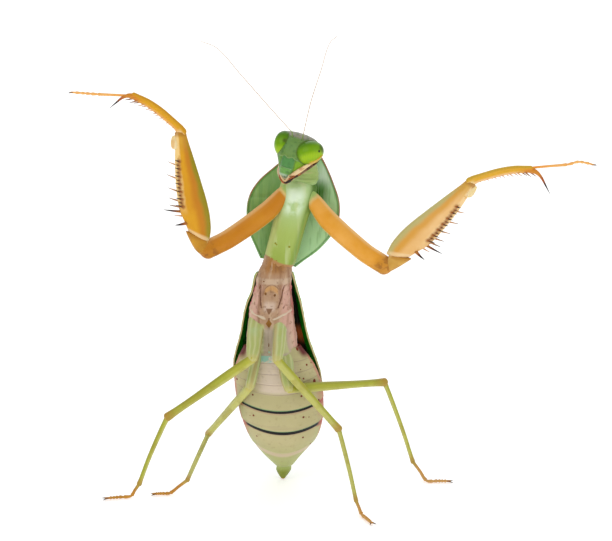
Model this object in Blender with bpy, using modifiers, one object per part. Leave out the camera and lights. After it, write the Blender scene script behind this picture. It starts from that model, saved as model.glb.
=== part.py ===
"""Shield mantis, adult female, upright in her threat display: a life-size museum model.

Metres, +Z up. She faces -Y and her left side is +X. Places are measured in a body frame whose
floor point lies under the thorax; the root empty then sets the middle of her box over the origin.
"""
import math
from bisect import bisect_right

import bmesh
import bpy
from mathutils import Matrix, Vector

MM = 0.001
GAP = 0.3 * MM
FLOOR = 0.0
FOOTPRINT_CENTRE = (13.45, -5.60)

# Body sections from the floor up: height, x, y, half width, belly depth, back depth
BODY_SECTIONS = [
    (0.0, 1.25, 8.1, 0.9, 0.8, 0.8),
    (3.4, 1.5, 7.3, 2.3, 2.0, 1.7),
    (7.0, 1.1, 6.5, 5.4, 4.0, 2.7),
    (11.4, 1.4, 5.5, 8.2, 5.8, 3.4),
    (15.1, 1.3, 4.7, 9.7, 6.6, 3.8),
    (19.0, 1.0, 3.8, 10.5, 7.0, 4.0),
    (24.2, 0.5, 2.6, 10.9, 6.9, 4.0),
    (27.4, 0.1, 1.9, 10.8, 6.5, 3.9),
    (32.4, -0.6, 0.8, 9.6, 5.6, 3.8),
    (37.5, -1.2, 0.1, 6.9, 4.7, 3.8),
    (42.0, -1.35, 0.0, 5.8, 4.4, 3.8),
    (46.6, -1.3, 0.0, 5.4, 4.3, 3.7),
    (52.3, -0.8, 0.0, 4.2, 3.7, 3.2),
    (55.8, -0.35, 0.0, 3.8, 3.1, 2.7),
    (60.0, 0.95, 0.1, 3.9, 2.7, 2.4),
]
BODY_SIDES = 20
TIP_TOP = 3.4
ABDOMEN_TOP = 37.1
METATHORAX_TOP = 42.2
# Heights where one plate of the belly overlaps the next, and the shares of the full size that the
# edge of the upper plate and the start of the lower one have
PLATE_EDGES = [8.7, 15.3, 21.3, 26.2, 28.4, 31.0, 33.7]
PLATE_EDGE_SHARE = 1.012
PLATE_TUCK_SHARE = 0.978
PLATE_STEP = 0.12
LONG_PLATE = 4.0

# The prothorax leans to her left and a little back
PROTHORAX_BASE = (0.62, 0.0, 57.78)
PROTHORAX_LEAN = (6.86, 3.6, 26.25)
PROTHORAX_LENGTH = 19.5
# Distance from the base, half width, belly depth, back depth
PROTHORAX_SECTIONS = [
    (0.0, 3.8, 2.7, 2.3),
    (7.0, 3.9, 2.8, 2.3),
    (12.5, 4.0, 3.0, 2.4),
    (16.0, 4.3, 3.3, 2.5),
    (20.0, 4.1, 3.2, 2.4),
]

# The shield over the prothorax: distance from the base, half width, height over the prothorax axis,
# shift to her left
SHIELD_SECTIONS = [
    (-0.5, 4.3, 3.2, -0.3),
    (1.5, 5.9, 3.4, -0.3),
    (5.0, 8.6, 3.6, -0.2),
    (9.5, 10.6, 3.8, 0.0),
    (13.5, 11.1, 3.9, 0.15),
    (17.5, 10.0, 3.9, 0.3),
    (21.5, 7.4, 3.8, 0.4),
    (25.0, 4.7, 3.6, 0.4),
    (28.0, 2.0, 3.2, 0.3),
]
SHIELD_THICKNESS = 0.8
SHIELD_ARCH = 1.7
SHIELD_KEEL = 0.45
SHIELD_ROWS = 16
# Shares of the half width where the plate has a column; the keel is the middle one
SHIELD_COLUMNS = [-1.0, -0.82, -0.62, -0.42, -0.22, -0.07, 0.0, 0.07, 0.22, 0.42, 0.62, 0.82, 1.0]

# The head looks to her right and up, and leans over
HEAD_CENTRE = (4.55, -3.2, 85.4)
HEAD_YAW = math.radians(20)
HEAD_LIFT = math.radians(16)
HEAD_ROLL = math.radians(13)
# Head sections from the upper lip to the crown: height, half width, face depth, back depth
HEAD_SECTIONS = [
    (-6.9, 1.3, 1.4, 0.4),
    (-5.9, 2.0, 2.1, 0.9),
    (-4.2, 3.0, 3.1, 1.8),
    (-1.7, 4.6, 4.0, 2.7),
    (0.6, 5.5, 3.7, 3.1),
    (2.8, 5.6, 3.0, 3.1),
    (4.2, 4.6, 1.9, 2.5),
    (5.0, 2.4, 0.8, 1.4),
]
# How sharply the face narrows to its middle, and how far back the widest part lies
HEAD_EDGE = 1.6
HEAD_SIDES = 20
HEAD_BACK = 0.3
# The jaws and palps behind the upper lip, in the same four measures
MOUTH_SECTIONS = [(-8.3, 0.8, 1.0, 0.6), (-7.2, 1.7, 1.6, 1.0), (-5.6, 2.6, 1.6, 1.3), (-3.8, 3.1, 0.6, 1.5)]
MOUTH_BACK = 0.9
EYE_CENTRE = (3.75, 0.2, 1.1)
EYE_HALF_AXES = (2.5, 3.0, 3.1)
EYE_LEAN = math.radians(16)
ANTENNA_SOCKET = (1.36, -2.3, 3.3)
ANTENNA_RADIUS = 0.3
# Each antenna runs through these places, and its end curls over
ANTENNA_PLACES = {
    "left": [(8.2, -4.8, 97.9), (10.4, -3.6, 104.6), (12.5, -2.4, 111.1), (14.3, -1.4, 112.7)],
    "right": [(-2.1, -6.1, 97.3), (-8.4, -6.1, 104.6), (-13.6, -6.0, 110.5), (-17.6, -6.0, 112.3)],
}
ANTENNA_POINTS = 15

# Neck sections: distance from the prothorax base, shift to her left, reach forward, half width, depth
NECK_SECTIONS = [
    (19.8, 0.0, 0.3, 4.2, 2.7),
    (21.6, 0.0, 0.7, 4.1, 2.7),
    (23.4, -0.4, 1.4, 4.0, 2.7),
    (25.2, -1.0, 2.6, 3.6, 2.6),
    (26.9, -1.8, 4.2, 3.1, 2.4),
]

# Joints of the raised forelegs
FORELEGS = {
    "left": {
        "socket": (7.8, -0.7, 73.6), "elbow": (25.9, -4.0, 57.8), "trochanter": (29.9, -4.6, 60.4),
        "knee": (45.8, -5.0, 78.3), "claw_root": (59.5, -7.0, 82.5), "claw_tip": (64.4, -8.0, 76.4),
        "tarsus_bend": (68.5, -8.0, 83.4), "toe": (75.3, -8.0, 83.3),
    },
    "right": {
        "socket": (2.8, -0.7, 75.2), "elbow": (-16.6, -4.0, 61.7), "trochanter": (-19.4, -4.6, 65.6),
        "knee": (-22.3, -5.0, 90.3), "claw_root": (-32.8, -7.0, 99.8), "claw_tip": (-38.7, -8.0, 96.9),
        "tarsus_bend": (-41.9, -8.0, 100.1), "toe": (-48.4, -8.0, 100.6),
    },
}
# Girths along a segment: share of its length, half width in the leg's plane, half thickness and
# shift of the section in that plane, away from the outer side
FORE_COXA_GIRTH = [
    (0.0, 1.9, 1.6, 0.0), (0.3, 2.4, 1.8, -1.2), (0.75, 2.35, 1.7, -1.0), (1.0, 2.0, 1.6, 0.0),
]
FORE_TROCHANTER_GIRTH = [(0.0, 2.0, 1.6, 0.0), (1.0, 2.5, 1.5, -0.6)]
FORE_FEMUR_GIRTH = [
    (0.0, 2.5, 1.4, -0.6), (0.1, 3.0, 1.5, -0.9), (0.28, 3.35, 1.6, -0.55), (0.5, 3.0, 1.5, -0.1),
    (0.75, 2.2, 1.35, 0.2), (1.0, 1.35, 1.1, 0.4),
]
FORE_TIBIA_GIRTH = [
    (0.0, 1.3, 1.0, 0.0), (0.3, 1.05, 0.85, -0.6), (0.7, 1.15, 0.85, -0.6), (1.0, 1.0, 0.8, 0.0),
]
FORE_TARSUS_RADIUS = 0.5
# Shares of the way from its bend to its claws' tips where a joint of the fore tarsus ends
FORE_TARSUS_JOINTS = [0.0, 0.25, 0.45, 0.62, 0.84]
CLAW_RADIUS = 0.9
CLAW_SAG = 0.7
# Spines of a fore femur: share of its length, offset to the near side, length, radius at the root
INNER_SPINES = [(0.17 + 0.065 * i, 0.55, 1.2 + 0.9 * (i % 2), 0.3) for i in range(11)]
OUTER_SPINES = [(0.34 + 0.14 * i, -0.6, 2.3, 0.34) for i in range(4)]
LONG_SPINES = [(0.2, 0.0, 2.4, 0.36), (0.265, 0.05, 3.9, 0.42), (0.33, -0.1, 2.9, 0.38)]
# Spines of a fore tibia grow longer toward its claw
TIBIA_SPINES = [(0.12 + 0.075 * i, 0.35 * (-1) ** i, 0.8 + 0.12 * i, 0.27) for i in range(11)]
SPINE_SIDES = 5
SPINE_TIP = 0.08
SPINE_ROOT = 0.45
FEMUR_SPINE_SLANT = math.radians(18)
TIBIA_SPINE_SLANT = math.radians(32)
# The rounded lobes on both sides of a fore knee: share of the femur, reach, radius, thickness, spread
KNEE_LOBE = (0.95, 1.75, 1.25, 0.45, 0.8)

# Joints of the four walking legs; each tarsus lies on the floor from its heel to its toe
WALKING_LEGS = {
    "mid_left": {
        "socket": (1.1, -2.6, 44.7), "hip": (0.1, -9.5, 36.0), "knee": (14.9, -5.2, 17.3),
        "ankle": (19.0, -15.7, 2.7), "heel": (20.3, -19.0, 0.4), "toe": (22.9, -25.7, 0.4),
    },
    "mid_right": {
        "socket": (-4.9, -2.6, 44.7), "hip": (-5.8, -9.5, 36.3), "knee": (-26.5, -6.1, 20.6),
        "ankle": (-33.7, -5.8, 3.4), "heel": (-35.8, -6.2, 0.4), "toe": (-42.6, -8.0, 0.4),
    },
    "hind_left": {
        "socket": (1.6, -2.8, 37.9), "hip": (2.9, -7.2, 28.1), "knee": (26.5, 9.5, 24.6),
        "ankle": (33.8, 10.6, 3.5), "heel": (37.1, 5.0, 0.4), "toe": (43.6, 4.7, 0.4),
    },
    "hind_right": {
        "socket": (-4.4, -2.8, 37.9), "hip": (-6.5, -7.2, 28.6), "knee": (-17.5, 13.5, 9.9),
        "ankle": (-21.9, -6.4, 4.6), "heel": (-26.4, -4.1, 0.4), "toe": (-31.0, -4.7, 0.4),
    },
}
COXA_GIRTH = [(0.0, 1.3, 1.2, 0.0), (0.4, 1.6, 1.4, 0.0), (1.0, 1.3, 1.15, 0.0)]
FEMUR_GIRTH = [(0.0, 1.15, 1.0, 0.0), (0.3, 1.2, 1.05, 0.0), (0.7, 1.0, 0.9, 0.0), (1.0, 0.9, 0.8, 0.0)]
TIBIA_GIRTH = [(0.0, 0.8, 0.7, 0.0), (0.2, 0.62, 0.6, 0.2), (0.6, 0.55, 0.55, 0.3), (1.0, 0.6, 0.55, 0.0)]
TARSUS_RADIUS = 0.55
# Shares of the way from the heel to the claws' tips where a joint of the tarsus ends
TARSUS_JOINTS = [0.0, 0.34, 0.5, 0.63, 0.74, 0.86]
FOOT_CLAW_LENGTH = 1.7
FOOT_CLAW_RADIUS = 0.28
FOOT_CLAW_SPREAD = math.radians(30)
FOOT_CLAW_SHIFT = -0.13

# The folded wings follow the body's back; half width of the pair at each height
WING_SPREAD = [
    (5.2, 1.9), (7.5, 4.6), (11.4, 7.2), (19.0, 9.7), (27.0, 10.6), (31.0, 10.3),
    (39.0, 8.6), (46.5, 7.1), (51.0, 5.5), (54.6, 4.2),
]
WING_THICKNESS = 0.5
WING_ROWS = 14
# Shares of a wing's section that main veins run along, and how high and wide these stand out
TEGMEN_VEINS = [0.1, 0.3, 0.62]
VEIN_HEIGHT = 0.3
VEIN_SHARE = 0.03
# Lift of the wing's edge off the body, rise over the back, first and last angle of its section,
# height of its tip
WING_LAYERS = {
    "tegmen_left": (2.0, 1.7, 0, 104, 5.2),
    "tegmen_right": (2.0, 0.8, 0, 104, 5.2),
    "hindwing_left": (1.4, -0.3, 32, 84, 11.0),
    "hindwing_right": (1.4, -0.3, 32, 84, 11.0),
}
# The two short feelers beside the tip of the abdomen: shares of the length and radii
CERCUS_ROOT = (1.5, 8.3, 4.1)
CERCUS_SPREAD = 1.1
CERCUS_AIM = (0.35, 0.88, -0.3)
CERCUS_LENGTH = 4.0
CERCUS_GIRTH = [(0.0, 0.45), (0.35, 0.5), (0.7, 0.4), (1.0, 0.2)]

COLOURS = {
    "thorax": (0.62, 0.43, 0.33), "abdomen": (0.68, 0.70, 0.46), "green": (0.36, 0.58, 0.22),
    "shield": (0.34, 0.62, 0.42), "face": (0.24, 0.52, 0.26), "eye": (0.28, 0.62, 0.05),
    "antenna": (0.72, 0.55, 0.42), "mouth": (0.75, 0.52, 0.30), "fore_coxa": (0.85, 0.42, 0.08),
    "fore_leg": (0.87, 0.55, 0.16), "walking_leg": (0.50, 0.60, 0.18), "tarsus": (0.60, 0.42, 0.16),
    "tegmen": (0.10, 0.42, 0.12), "hindwing": (0.08, 0.07, 0.04), "tip": (0.35, 0.50, 0.12),
}
ROUGHNESS = {"eye": 0.15, "face": 0.35, "shield": 0.4}


def at(x, y, z):
    """A place given in millimetres, in metres."""
    return Vector((x, y, z)) * MM


def place_along(stations, place):
    """Smooth values at one place along a list of stations, each a place and its values."""
    places = [row[0] for row in stations]
    index = min(max(bisect_right(places, place) - 1, 0), len(stations) - 2)
    before = stations[max(index - 1, 0)]
    start, end = stations[index], stations[index + 1]
    after = stations[min(index + 2, len(stations) - 1)]
    span = end[0] - start[0]
    share = (place - start[0]) / span
    values = []
    for column in range(1, len(start)):
        slope_in = (end[column] - before[column]) / (end[0] - before[0]) * span
        slope_out = (after[column] - start[column]) / (after[0] - start[0]) * span
        rise = end[column] - start[column]
        curve = share * share * (3 - 2 * share) * rise
        curve += share * (1 - share) * ((1 - share) * slope_in - share * slope_out)
        values.append(start[column] + curve)
    return values


def loft(rings):
    """A closed mesh through rings that all have the same number of points."""
    bm = bmesh.new()
    loops = [[bm.verts.new(point) for point in ring] for ring in rings]
    for lower, upper in zip(loops, loops[1:]):
        for i in range(len(lower)):
            j = (i + 1) % len(lower)
            bm.faces.new((lower[i], lower[j], upper[j], upper[i]))
    bm.faces.new(loops[0])
    bm.faces.new(loops[-1])
    bmesh.ops.recalc_face_normals(bm, faces=bm.faces)
    return bm


def oval(centre, across, belly, back, sides, edge=1.0):
    """A ring around a centre: belly and back are the half axes to its front and its rear."""
    ring = []
    for i in range(sides):
        angle = 2 * math.pi * (i + 0.5) / sides
        height = abs(math.sin(angle)) ** edge
        side = back * height if math.sin(angle) > 0 else belly * -height
        ring.append(centre + across * math.cos(angle) + side)
    return ring


def trim(bm, point, outward):
    """Cut a closed mesh at a plane, drop what lies beyond the plane and close the cut."""
    geometry = bm.verts[:] + bm.edges[:] + bm.faces[:]
    cut = bmesh.ops.bisect_plane(
        bm, geom=geometry, dist=1e-7, plane_co=point, plane_no=outward, clear_outer=True)
    rim = [item for item in cut["geom_cut"] if isinstance(item, bmesh.types.BMEdge)]
    bmesh.ops.edgeloop_fill(bm, edges=rim)
    bmesh.ops.recalc_face_normals(bm, faces=bm.faces)


def material_for(name, colour):
    material = bpy.data.materials.new(name)
    material.use_nodes = True
    shader = material.node_tree.nodes["Principled BSDF"]
    shader.inputs["Base Color"].default_value = (*COLOURS[colour], 1.0)
    shader.inputs["Roughness"].default_value = ROUGHNESS.get(colour, 0.5)
    shader.inputs["Metallic"].default_value = 0.0
    return material


def make_object(name, bm, origin, colour, frame=None):
    """Turn a mesh in body coordinates into a named object with its origin at a joint."""
    placement = Matrix.Translation(origin) if frame is None else frame
    bmesh.ops.transform(bm, matrix=placement.inverted(), verts=bm.verts)
    mesh = bpy.data.meshes.new(name)
    bm.to_mesh(mesh)
    bm.free()
    mesh.shade_smooth()
    mesh.set_sharp_from_angle(angle=math.radians(50))
    part = bpy.data.objects.new(name, mesh)
    bpy.data.collections["mantis"].objects.link(part)
    part.parent = bpy.data.objects["root"]
    part.matrix_local = placement
    mesh.materials.append(material_for(name, colour))
    return part


def keep_largest(mesh):
    """Leave only the largest closed surface of a mesh."""
    bm = bmesh.new()
    bm.from_mesh(mesh)
    bmesh.ops.remove_doubles(bm, verts=bm.verts, dist=1e-6)
    waiting = set(bm.faces)
    shells = []
    while waiting:
        shell = [waiting.pop()]
        for face in shell:
            for edge in face.edges:
                found = [other for other in edge.link_faces if other in waiting]
                waiting.difference_update(found)
                shell.extend(found)
        shells.append(shell)
    shells.sort(key=lambda shell: sum(face.calc_area() for face in shell))
    small = [face for shell in shells[:-1] for face in shell]
    bmesh.ops.delete(bm, geom=small, context="FACES")
    bm.to_mesh(mesh)
    bm.free()


def combine(base, others, operation):
    """Cut other objects from a part, or join them to it, and remove them."""
    tools = bpy.data.collections.new("tools")
    bpy.context.scene.collection.children.link(tools)
    for other in others:
        tools.objects.link(other)
    modifier = base.modifiers.new("combine", "BOOLEAN")
    modifier.operand_type = "COLLECTION"
    modifier.collection = tools
    modifier.operation = operation
    modifier.solver = "EXACT"
    bpy.context.view_layer.update()
    graph = bpy.context.evaluated_depsgraph_get()
    result = bpy.data.meshes.new_from_object(base.evaluated_get(graph))
    base.modifiers.clear()
    keep_largest(result)
    material = base.data.materials[0]
    result.materials.clear()
    result.materials.append(material)
    base.data = result
    for other in others:
        bpy.data.objects.remove(other)
    bpy.data.collections.remove(tools)


def grown_copy(part, growth):
    """A copy of a part, larger by a clearance on every side, to cut its socket with."""
    bm = bmesh.new()
    bm.from_mesh(part.data)
    bm.normal_update()
    moves = [(vert, vert.normal * growth) for vert in bm.verts]
    for vert, move in moves:
        vert.co += move
    mesh = bpy.data.meshes.new("socket")
    bm.to_mesh(mesh)
    bm.free()
    copy = bpy.data.objects.new("socket", mesh)
    copy.parent = part.parent
    copy.matrix_basis = part.matrix_basis
    return copy


def carve(parent, children, growth=1.35 * GAP):
    """Cut the sockets of child parts into their parent, with clearance."""
    combine(parent, [grown_copy(child, growth) for child in children], "DIFFERENCE")


def tube(points, radii, resolution=2):
    """A round closed tube through points, as a mesh; 4 + 2 * resolution sides."""
    curve = bpy.data.curves.new("tube", "CURVE")
    curve.dimensions = "3D"
    curve.bevel_depth = 1.0
    curve.bevel_resolution = resolution
    curve.use_fill_caps = True
    spline = curve.splines.new("POLY")
    spline.points.add(len(points) - 1)
    for knot, point, radius in zip(spline.points, points, radii):
        knot.co = (*point, 1.0)
        knot.radius = radius
    guide = bpy.data.objects.new("tube", curve)
    bpy.context.scene.collection.objects.link(guide)
    graph = bpy.context.evaluated_depsgraph_get()
    mesh = bpy.data.meshes.new_from_object(guide.evaluated_get(graph))
    bm = bmesh.new()
    bm.from_mesh(mesh)
    bmesh.ops.remove_doubles(bm, verts=bm.verts, dist=1e-6)
    bmesh.ops.recalc_face_normals(bm, faces=bm.faces)
    bpy.data.objects.remove(guide)
    bpy.data.curves.remove(curve)
    bpy.data.meshes.remove(mesh)
    return bm


def limb(start, end, girth, plane, sides=10, rings=6, before=None, after=None):
    """A leg segment: ovals from start to end, mitred where it meets its neighbours.

    plane points across the segment toward the side its half widths are measured on.
    """
    axis = end - start
    length = axis.length
    axis.normalize()
    across = (plane - axis * plane.dot(axis)).normalized()
    thick = axis.cross(across)
    spare_start = mitre_reach(before, start, end, girth[0][1])
    spare_end = mitre_reach(after, end, start, girth[-1][1])
    shares = [-spare_start / length] + [i / (rings - 1) for i in range(rings)] + [1 + spare_end / length]
    if before is None:
        shares = shares[1:]
    if after is None:
        shares = shares[:-1]
    outline = []
    for share in shares:
        half_width, half_thick, shift = place_along(girth, min(max(share, 0.0), 1.0))
        centre = start + axis * (share * length) + across * (shift * MM)
        side = thick * (half_thick * MM)
        outline.append(oval(centre, across * (half_width * MM), side, side, sides))
    bm = loft(outline)
    if before is not None:
        normal = (start - before).normalized() + axis
        normal.normalize()
        trim(bm, start + normal * GAP / 2, -normal)
    if after is not None:
        normal = (after - end).normalized() + axis
        normal.normalize()
        trim(bm, end - normal * GAP / 2, normal)
    return bm


def mitre_reach(neighbour, joint, far_end, half_width):
    """How far a segment runs past its joint before the mitre cut takes the surplus off."""
    if neighbour is None:
        return 0.0
    turn = (neighbour - joint).angle(joint - far_end)
    return half_width * MM * math.tan(turn / 2) * 1.3 + GAP


def joints_of(table):
    return {joint: at(*place) for joint, place in table.items()}


def body_ring(height, scale=1.0):
    """The body's outline at one height: an edged belly low down, a rounder chest above.

    scale swells or shrinks the belly side, and the width half as much.
    """
    x, y, half_width, belly, back = place_along(BODY_SECTIONS, height)
    edge = 1.4 if height < ABDOMEN_TOP else 1.0
    across, belly_side = Vector((half_width, 0, 0)), Vector((0, belly, 0))
    back_side = Vector((0, back, 0))
    across *= 1 - (1 - scale) / 2
    ring = oval(Vector((x, y, height)), across, belly_side * scale, back_side, BODY_SIDES, edge)
    return [point * MM for point in ring]


def plated_belly(bottom, top):
    """The abdomen, each of its plates overlapping the next one down like a roof tile."""
    borders = [bottom] + PLATE_EDGES + [top]
    rings = []
    for low, high in zip(borders, borders[1:]):
        rings.append(body_ring(low + PLATE_STEP, PLATE_EDGE_SHARE))
        if high - low > LONG_PLATE:
            rings.append(body_ring((low + high) / 2))
        rings.append(body_ring(high - PLATE_STEP, PLATE_TUCK_SHARE))
    return loft(rings)


def body_stretch(bottom, top, rings):
    heights = [bottom + (top - bottom) * i / (rings - 1) for i in range(rings)]
    return loft([body_ring(height) for height in heights])


def prothorax_frame():
    """Axes of the prothorax: X to her left, Y to the back, Z along it toward the head."""
    along = Vector(PROTHORAX_LEAN).normalized()
    across = Vector((1, 0, 0))
    across = (across - along * across.dot(along)).normalized()
    frame = Matrix((across, along.cross(across), along)).transposed().to_4x4()
    frame.translation = at(*PROTHORAX_BASE)
    return frame


def head_frame():
    """Axes of the head: X to her left, Y to the back, Z to the crown."""
    turn = Matrix.Rotation(-HEAD_YAW, 4, "Z")
    nod = Matrix.Rotation(-HEAD_LIFT, 4, "X")
    roll = Matrix.Rotation(HEAD_ROLL, 4, "Y")
    return Matrix.Translation(at(*HEAD_CENTRE)) @ turn @ nod @ roll


def build_trunk():
    """Abdomen with its tip on the floor, metathorax and mesothorax."""
    tip = body_stretch(FLOOR, TIP_TOP - 0.15, 4)
    make_object("ovipositor", tip, at(1.25, 8.1, 0.0), "tip")
    abdomen = plated_belly(TIP_TOP + 0.05, ABDOMEN_TOP - 0.05)
    make_object("abdomen", abdomen, at(-1.2, 0.1, ABDOMEN_TOP), "abdomen")
    metathorax = body_stretch(ABDOMEN_TOP + 0.15, METATHORAX_TOP - 0.15, 4)
    make_object("metathorax", metathorax, at(-1.35, 0.0, METATHORAX_TOP), "thorax")
    mesothorax = body_stretch(METATHORAX_TOP + 0.15, 60.0, 9)
    frame = prothorax_frame()
    along = frame.to_3x3().col[2]
    trim(mesothorax, frame.translation - along * GAP / 2, along)
    make_object("mesothorax", mesothorax, at(0.0, 0.0, 56.0), "thorax")


def build_cerci():
    """Two short feelers beside the tip of the abdomen."""
    for side, sign in (("left", 1), ("right", -1)):
        x, y, z = CERCUS_ROOT
        root = at(x + sign * CERCUS_SPREAD, y, z)
        aside, back, rise = CERCUS_AIM
        reach = Vector((sign * aside, back, rise)).normalized() * CERCUS_LENGTH * MM
        points = [root + reach * share for share, _ in CERCUS_GIRTH]
        radii = [radius * MM for _, radius in CERCUS_GIRTH]
        make_object("cercus_" + side, tube(points, radii, 1), root, "walking_leg")


def build_prothorax():
    frame = prothorax_frame()
    rings = []
    for i in range(8):
        height = 0.15 + (PROTHORAX_LENGTH - 0.15) * i / 7
        half_width, belly, back = place_along(PROTHORAX_SECTIONS, height)
        centre = Vector((0, 0, height))
        ring = oval(centre, Vector((half_width, 0, 0)), Vector((0, belly, 0)), Vector((0, back, 0)), 16)
        rings.append([frame @ (point * MM) for point in ring])
    return make_object("prothorax", loft(rings), frame.translation, "green", frame)


def build_shield():
    """The broad leaf-like pronotum, an arched plate behind the prothorax."""
    frame = prothorax_frame()
    first, last = SHIELD_SECTIONS[0][0], SHIELD_SECTIONS[-1][0]
    widest = max(row[1] for row in SHIELD_SECTIONS)
    bm = bmesh.new()
    rows = []
    for i in range(SHIELD_ROWS + 1):
        along = first + (last - first) * i / SHIELD_ROWS
        half_width, height, shift = place_along(SHIELD_SECTIONS, along)
        row = []
        for share in SHIELD_COLUMNS:
            rise = SHIELD_KEEL if share == 0 else -SHIELD_ARCH * (share * half_width / widest) ** 2
            row.append(bm.verts.new(frame @ at(share * half_width + shift, height + rise, along)))
        rows.append(row)
    sheet_faces(bm, rows)
    shield = make_object("pronotum", bm, frame.translation, "shield", frame)
    thicken(shield, SHIELD_THICKNESS)


def sheet_faces(bm, rows):
    """Fill a grid of points with triangles."""
    for lower, upper in zip(rows, rows[1:]):
        for j in range(len(lower) - 1):
            bm.faces.new((lower[j], upper[j], upper[j + 1], lower[j + 1]))
    bmesh.ops.triangulate(bm, faces=bm.faces)


def thicken(part, thickness):
    solid = part.modifiers.new("thickness", "SOLIDIFY")
    solid.thickness = thickness * MM
    solid.offset = 0.0


def build_head():
    frame = head_frame()
    low, high = HEAD_SECTIONS[0][0], HEAD_SECTIONS[-1][0]
    rings = []
    for i in range(11):
        height = low + (high - low) * i / 10
        half_width, face, back = place_along(HEAD_SECTIONS, height)
        centre = Vector((0, HEAD_BACK, height))
        face_side, back_side = Vector((0, face, 0)), Vector((0, back, 0))
        ring = oval(centre, Vector((half_width, 0, 0)), face_side, back_side, HEAD_SIDES, HEAD_EDGE)
        rings.append([frame @ (point * MM) for point in ring])
    head = make_object("head", loft(rings), frame.translation, "face", frame)
    eyes = [build_eye(frame, side, sign) for side, sign in (("left", 1), ("right", -1))]
    feelers = [build_antenna(frame, side, sign) for side, sign in (("left", 1), ("right", -1))]
    carve(head, eyes + feelers)
    mouth = build_mouth(frame)
    carve(mouth, [head])
    return head


def build_eye(frame, side, sign):
    bm = bmesh.new()
    bmesh.ops.create_uvsphere(bm, u_segments=16, v_segments=10, radius=MM)
    x, y, z = EYE_CENTRE
    placement = frame @ Matrix.Translation(at(sign * x, y, z)) @ Matrix.Rotation(sign * EYE_LEAN, 4, "Y")
    bmesh.ops.transform(bm, matrix=placement @ Matrix.Diagonal((*EYE_HALF_AXES, 1.0)), verts=bm.verts)
    return make_object("eye_" + side, bm, placement.translation, "eye", placement)


def build_antenna(frame, side, sign):
    """A bead at the socket, then a hair-thin feeler that curls at its end."""
    x, y, z = ANTENNA_SOCKET
    socket = frame @ at(sign * x, y, z)
    scape = frame @ at(sign * x * 1.05, y - 1.2, z + 0.9)
    knots = [scape] + [at(*place) for place in ANTENNA_PLACES[side]]
    reach = 0.0
    stations = [(reach, *scape)]
    for before, knot in zip(knots, knots[1:]):
        reach += (knot - before).length
        stations.append((reach, *knot))
    points = [socket, scape]
    for i in range(1, ANTENNA_POINTS + 1):
        points.append(Vector(place_along(stations, reach * i / ANTENNA_POINTS)))
    radii = [0.55 * MM, 0.45 * MM]
    radii += [ANTENNA_RADIUS * MM * (1 - 0.35 * i / ANTENNA_POINTS) for i in range(ANTENNA_POINTS)]
    return make_object("antenna_" + side, tube(points, radii, 1), socket, "antenna")


def build_mouth(frame):
    """Jaws and palps, a wedge behind the upper lip."""
    rings = []
    for height, half_width, front, back in MOUTH_SECTIONS:
        centre = Vector((0, MOUTH_BACK, height))
        ring = oval(centre, Vector((half_width, 0, 0)), Vector((0, front, 0)), Vector((0, back, 0)), 12)
        rings.append([frame @ (point * MM) for point in ring])
    return make_object("mouthparts", loft(rings), frame @ at(0, MOUTH_BACK, -6), "mouth")


def build_neck(head):
    """The soft neck bends from the prothorax to the back of the head."""
    frame = prothorax_frame()
    rings = []
    for along, sideways, forward, half_width, depth in NECK_SECTIONS:
        slope = math.radians(10 * forward)
        centre = Vector((sideways, -forward, along))
        deep = Vector((0, math.cos(slope), math.sin(slope))) * depth
        ring = oval(centre, Vector((half_width, 0, 0)), deep, deep, 14)
        rings.append([frame @ (point * MM) for point in ring])
    neck = make_object("neck", loft(rings), frame @ at(0, 0, NECK_SECTIONS[0][0]), "green")
    eyes = [bpy.data.objects["eye_left"], bpy.data.objects["eye_right"]]
    carve(neck, [head] + eyes)


def build_foreleg(side):
    """Coxa, trochanter, femur, tibia with its claw, and tarsus of one raised foreleg."""
    joint = joints_of(FORELEGS[side])
    plane = joint["claw_root"] - joint["knee"]
    coxa = limb(joint["socket"], joint["elbow"], FORE_COXA_GIRTH, plane, 14, 7, None, joint["trochanter"])
    coxa = make_object("fore_coxa_" + side, coxa, joint["socket"], "fore_coxa")
    trochanter = limb(joint["elbow"], joint["trochanter"], FORE_TROCHANTER_GIRTH, plane, 12, 3,
                      joint["socket"], joint["knee"])
    make_object("fore_trochanter_" + side, trochanter, joint["elbow"], "fore_coxa")
    femur = limb(joint["trochanter"], joint["knee"], FORE_FEMUR_GIRTH, plane, 14, 9,
                 joint["elbow"], joint["claw_root"])
    femur = make_object("fore_femur_" + side, femur, joint["trochanter"], "fore_leg")
    base, knee = joint["trochanter"], joint["knee"]
    armour = [place_spine(base, knee, FORE_FEMUR_GIRTH, plane, row, FEMUR_SPINE_SLANT)
              for row in INNER_SPINES + OUTER_SPINES + LONG_SPINES]
    armour += build_knee_lobes(base, knee, plane)
    combine(femur, armour, "UNION")
    end = joint["claw_root"] + plane.normalized() * 0.8 * MM
    tibia = limb(joint["knee"], end, FORE_TIBIA_GIRTH, joint["claw_tip"] - end, 12, 7,
                 joint["trochanter"], None)
    tibia = make_object("fore_tibia_" + side, tibia, joint["knee"], "fore_leg")
    inward = joint["claw_tip"] - end
    armour = [place_spine(joint["knee"], end, FORE_TIBIA_GIRTH, inward, row, TIBIA_SPINE_SLANT)
              for row in TIBIA_SPINES]
    combine(tibia, [build_claw(joint)] + armour, "UNION")
    carve(tibia, [build_fore_tarsus(side, joint)])
    return coxa


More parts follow.
